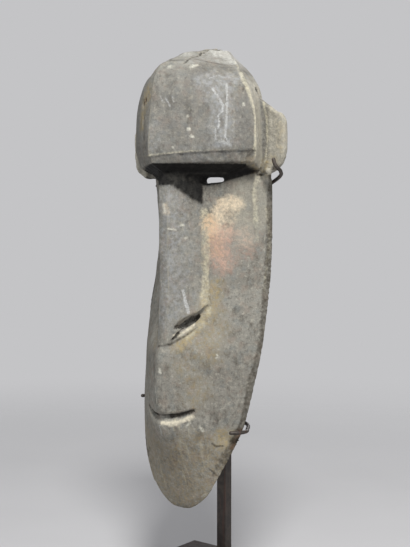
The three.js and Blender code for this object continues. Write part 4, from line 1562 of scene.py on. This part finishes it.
def steel_material():
    material, tree, shader, fields, color = layered_material(
        "Blackened steel", STEEL_NOISES, STEEL_GROUND, STEEL_LAYERS)
    roughness = ranged(tree, fields["clouds"], *STEEL_ROUGHNESS)
    relief = weighted(tree, (fields["fine"], 1.0), (fields["drawn"], 0.5))
    finish_surface(tree, shader, color, roughness, relief, *STEEL_BUMP)
    shader.inputs["Metallic"].default_value = STEEL_METALLIC
    return material


def foot_material():
    material, tree, shader, fields, color = layered_material(
        "Dark stained block", BLOCK_NOISES, BLOCK_GROUND, BLOCK_LAYERS)
    roughness = ranged(tree, fields["scuff"], *BLOCK_ROUGHNESS)
    finish_surface(tree, shader, color, roughness, fields["grain"], *BLOCK_BUMP)
    return material


CORNER_STEPS = 5
END_INSET_SHARE = 0.98


def even_bar(name, half_x, half_y, centre, bottom, top, corner, step):
    """An upright bar with rounded corners and edges, in even steps along its height."""
    quarter = np.linspace(0, math.pi / 2, CORNER_STEPS)
    middles, turned = [], []
    for sign_x, sign_y, start in ((1, 1, 0), (-1, 1, 1), (-1, -1, 2), (1, -1, 3)):
        for angle in quarter + start * math.pi / 2:
            middles.append((sign_x * (half_x - corner), sign_y * (half_y - corner)))
            turned.append((math.cos(angle), math.sin(angle)))
    middles, turned = np.array(middles) + centre, np.array(turned)

    def ring(inset, height):
        return np.insert(middles + turned * (corner - inset), 2, height, axis=1)

    ease = [(END_INSET_SHARE * corner * (1 - math.sin(angle)), corner * (1 - math.cos(angle)))
            for angle in quarter]
    heights = np.linspace(bottom + corner, top - corner, max(2, int((top - bottom) / step)))[1:-1]
    rings = [ring(inset, bottom + rise) for inset, rise in ease]
    rings += [ring(0.0, height) for height in heights]
    rings += [ring(inset, top - rise) for inset, rise in ease[::-1]]
    return skin(name, rings)


FOOT_WIDTH = 150.0
FOOT_DEPTH = 150.0
FOOT_HEIGHT = 18.0
FOOT_CORNER = 2.0
FOOT_STEP = 2.0
POST_CORNER = 0.8
POST_STEP = 4.0


def stand_pieces():
    steel = steel_material()
    upper = bent_wire("upper_cradle_wire", UPPER_FAR_HOOK, UPPER_WIRE_HEIGHT, UPPER_NEAR_HOOK, steel)
    lower = bent_wire("lower_cradle_wire", LOWER_FAR_HOOK, LOWER_WIRE_HEIGHT, LOWER_NEAR_HOOK, steel)
    post = even_bar("square_post", POST_SIDE / 2, POST_SIDE / 2, (0.0, POST_BEHIND_CENTRE),
                    FOOT_HEIGHT, POST_TOP, POST_CORNER, POST_STEP)
    post.data.materials.append(steel)
    foot = even_bar("block_foot", FOOT_WIDTH / 2, FOOT_DEPTH / 2, (0.0, 0.0),
                    0.0, FOOT_HEIGHT, FOOT_CORNER, FOOT_STEP)
    foot.data.materials.append(foot_material())
    for piece, replaced, slot in (
        (upper, "upper_cradle_rod", STEEL), (lower, "lower_cradle_rod", STEEL),
        (post, "stand_post", STEEL), (foot, "stand_foot", FOOT_FINISH),
    ):
        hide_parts(replaced)
        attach(piece, BODY)


FLOOR_RADIUS = 5.0
FLOOR_SIDES = 96
FLOOR_CLOUDS = 0.5
FLOOR_CLOUD_VALUES = (0.3, 0.7)
FLOOR_ROUGHNESS = 0.9
FLOOR_SHEEN = 0.1
FLOOR_FADE = (0.35, 1.7)
FLOOR_TONES = ((200, 200, 202), (205, 205, 207))
SEEN_TONE = (196, 196, 198)
FILL_TONE = (196, 196, 200)
FILL_STRENGTH = 0.30
LAMPS_AIM = Vector((0, 0, 0.36))
# Lamps: name, azimuth, height, distance, size, power, colour
LAMPS = [
    ("Key from the right", 42.0, 1.55, 1.02, 0.45, 26.0, (1.0, 0.99, 0.97)),
    ("Weaker from the left", -45.0, 1.0, 1.7, 0.9, 7.0, (0.98, 0.99, 1.0)),
    ("Low from the right", 90.0, 0.7, 1.7, 0.9, 7.0, (1.0, 0.99, 0.97)),
    ("Soft from behind", 195.0, 1.3, 1.9, 1.2, 12.0, (1.0, 1.0, 1.0)),
]


def add_floor():
    """A pale floor that fades into pale surroundings."""
    points = [(FLOOR_RADIUS * math.cos(turn), FLOOR_RADIUS * math.sin(turn), 0.0)
              for turn in turns(FLOOR_SIDES)]
    floor = new_object("floor", points, [tuple(range(FLOOR_SIDES))])
    material, tree, shader = new_material("Pale floor")
    where = object_places(tree)
    dark, light = FLOOR_TONES
    clouds = noise_at(tree, where, FLOOR_CLOUDS)
    color = over(tree, tone(*dark), clouds, *FLOOR_CLOUD_VALUES, 1.0, tone(*light))
    tree.links.new(color, shader.inputs["Base Color"])
    shader.inputs["Roughness"].default_value = FLOOR_ROUGHNESS
    shader.inputs["Specular IOR Level"].default_value = FLOOR_SHEEN
    far = node(tree, "ShaderNodeVectorMath", {0: where}, operation="LENGTH").outputs["Value"]
    tree.links.new(ranged(tree, far, *FLOOR_FADE, 1.0, 0.0), shader.inputs["Alpha"])
    floor.data.materials.append(material)


def add_light():
    """Even pale surroundings and four soft lamps."""
    world = bpy.data.worlds.new("Pale room")
    world.use_nodes = True
    tree = world.node_tree
    seen = tree.nodes["Background"]
    seen.inputs["Color"].default_value = tone(*SEEN_TONE)
    fill = node(tree, "ShaderNodeBackground", {"Color": tone(*FILL_TONE), "Strength": FILL_STRENGTH})
    both = node(tree, "ShaderNodeMixShader", {
        0: node(tree, "ShaderNodeLightPath").outputs["Is Camera Ray"],
        1: fill.outputs[0], 2: seen.outputs[0],
    })
    tree.links.new(both.outputs[0], tree.nodes["World Output"].inputs["Surface"])
    bpy.context.scene.world = world
    for name, azimuth, height, away, size, power, colour in LAMPS:
        data = bpy.data.lights.new(name, "AREA")
        data.shape = "DISK"
        data.size = size
        data.energy = power
        data.color = colour
        aimed_object(name, data, standing_at(azimuth, away, height), LAMPS_AIM)


def build_mask():
    made = mask_form()
    cut_openings(made)
    surface = surface_of(made.data)
    modified(made, "REMESH", mode="VOXEL", voxel_size=VOXEL * MM)
    made.name = "carved_mask"
    thin_inside(made)
    wood, inside = carve_details(made, surface)
    paint_wear_and_shade(wood, inside)
    smooth_shaded(made)
    made.data.materials.clear()
    made.data.materials.append(wood_material())
    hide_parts("wooden_mask")
    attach(made, BODY)


build_mask()
stand_pieces()
add_floor()
add_light()
bpy.context.scene.view_settings.view_transform = "Standard"
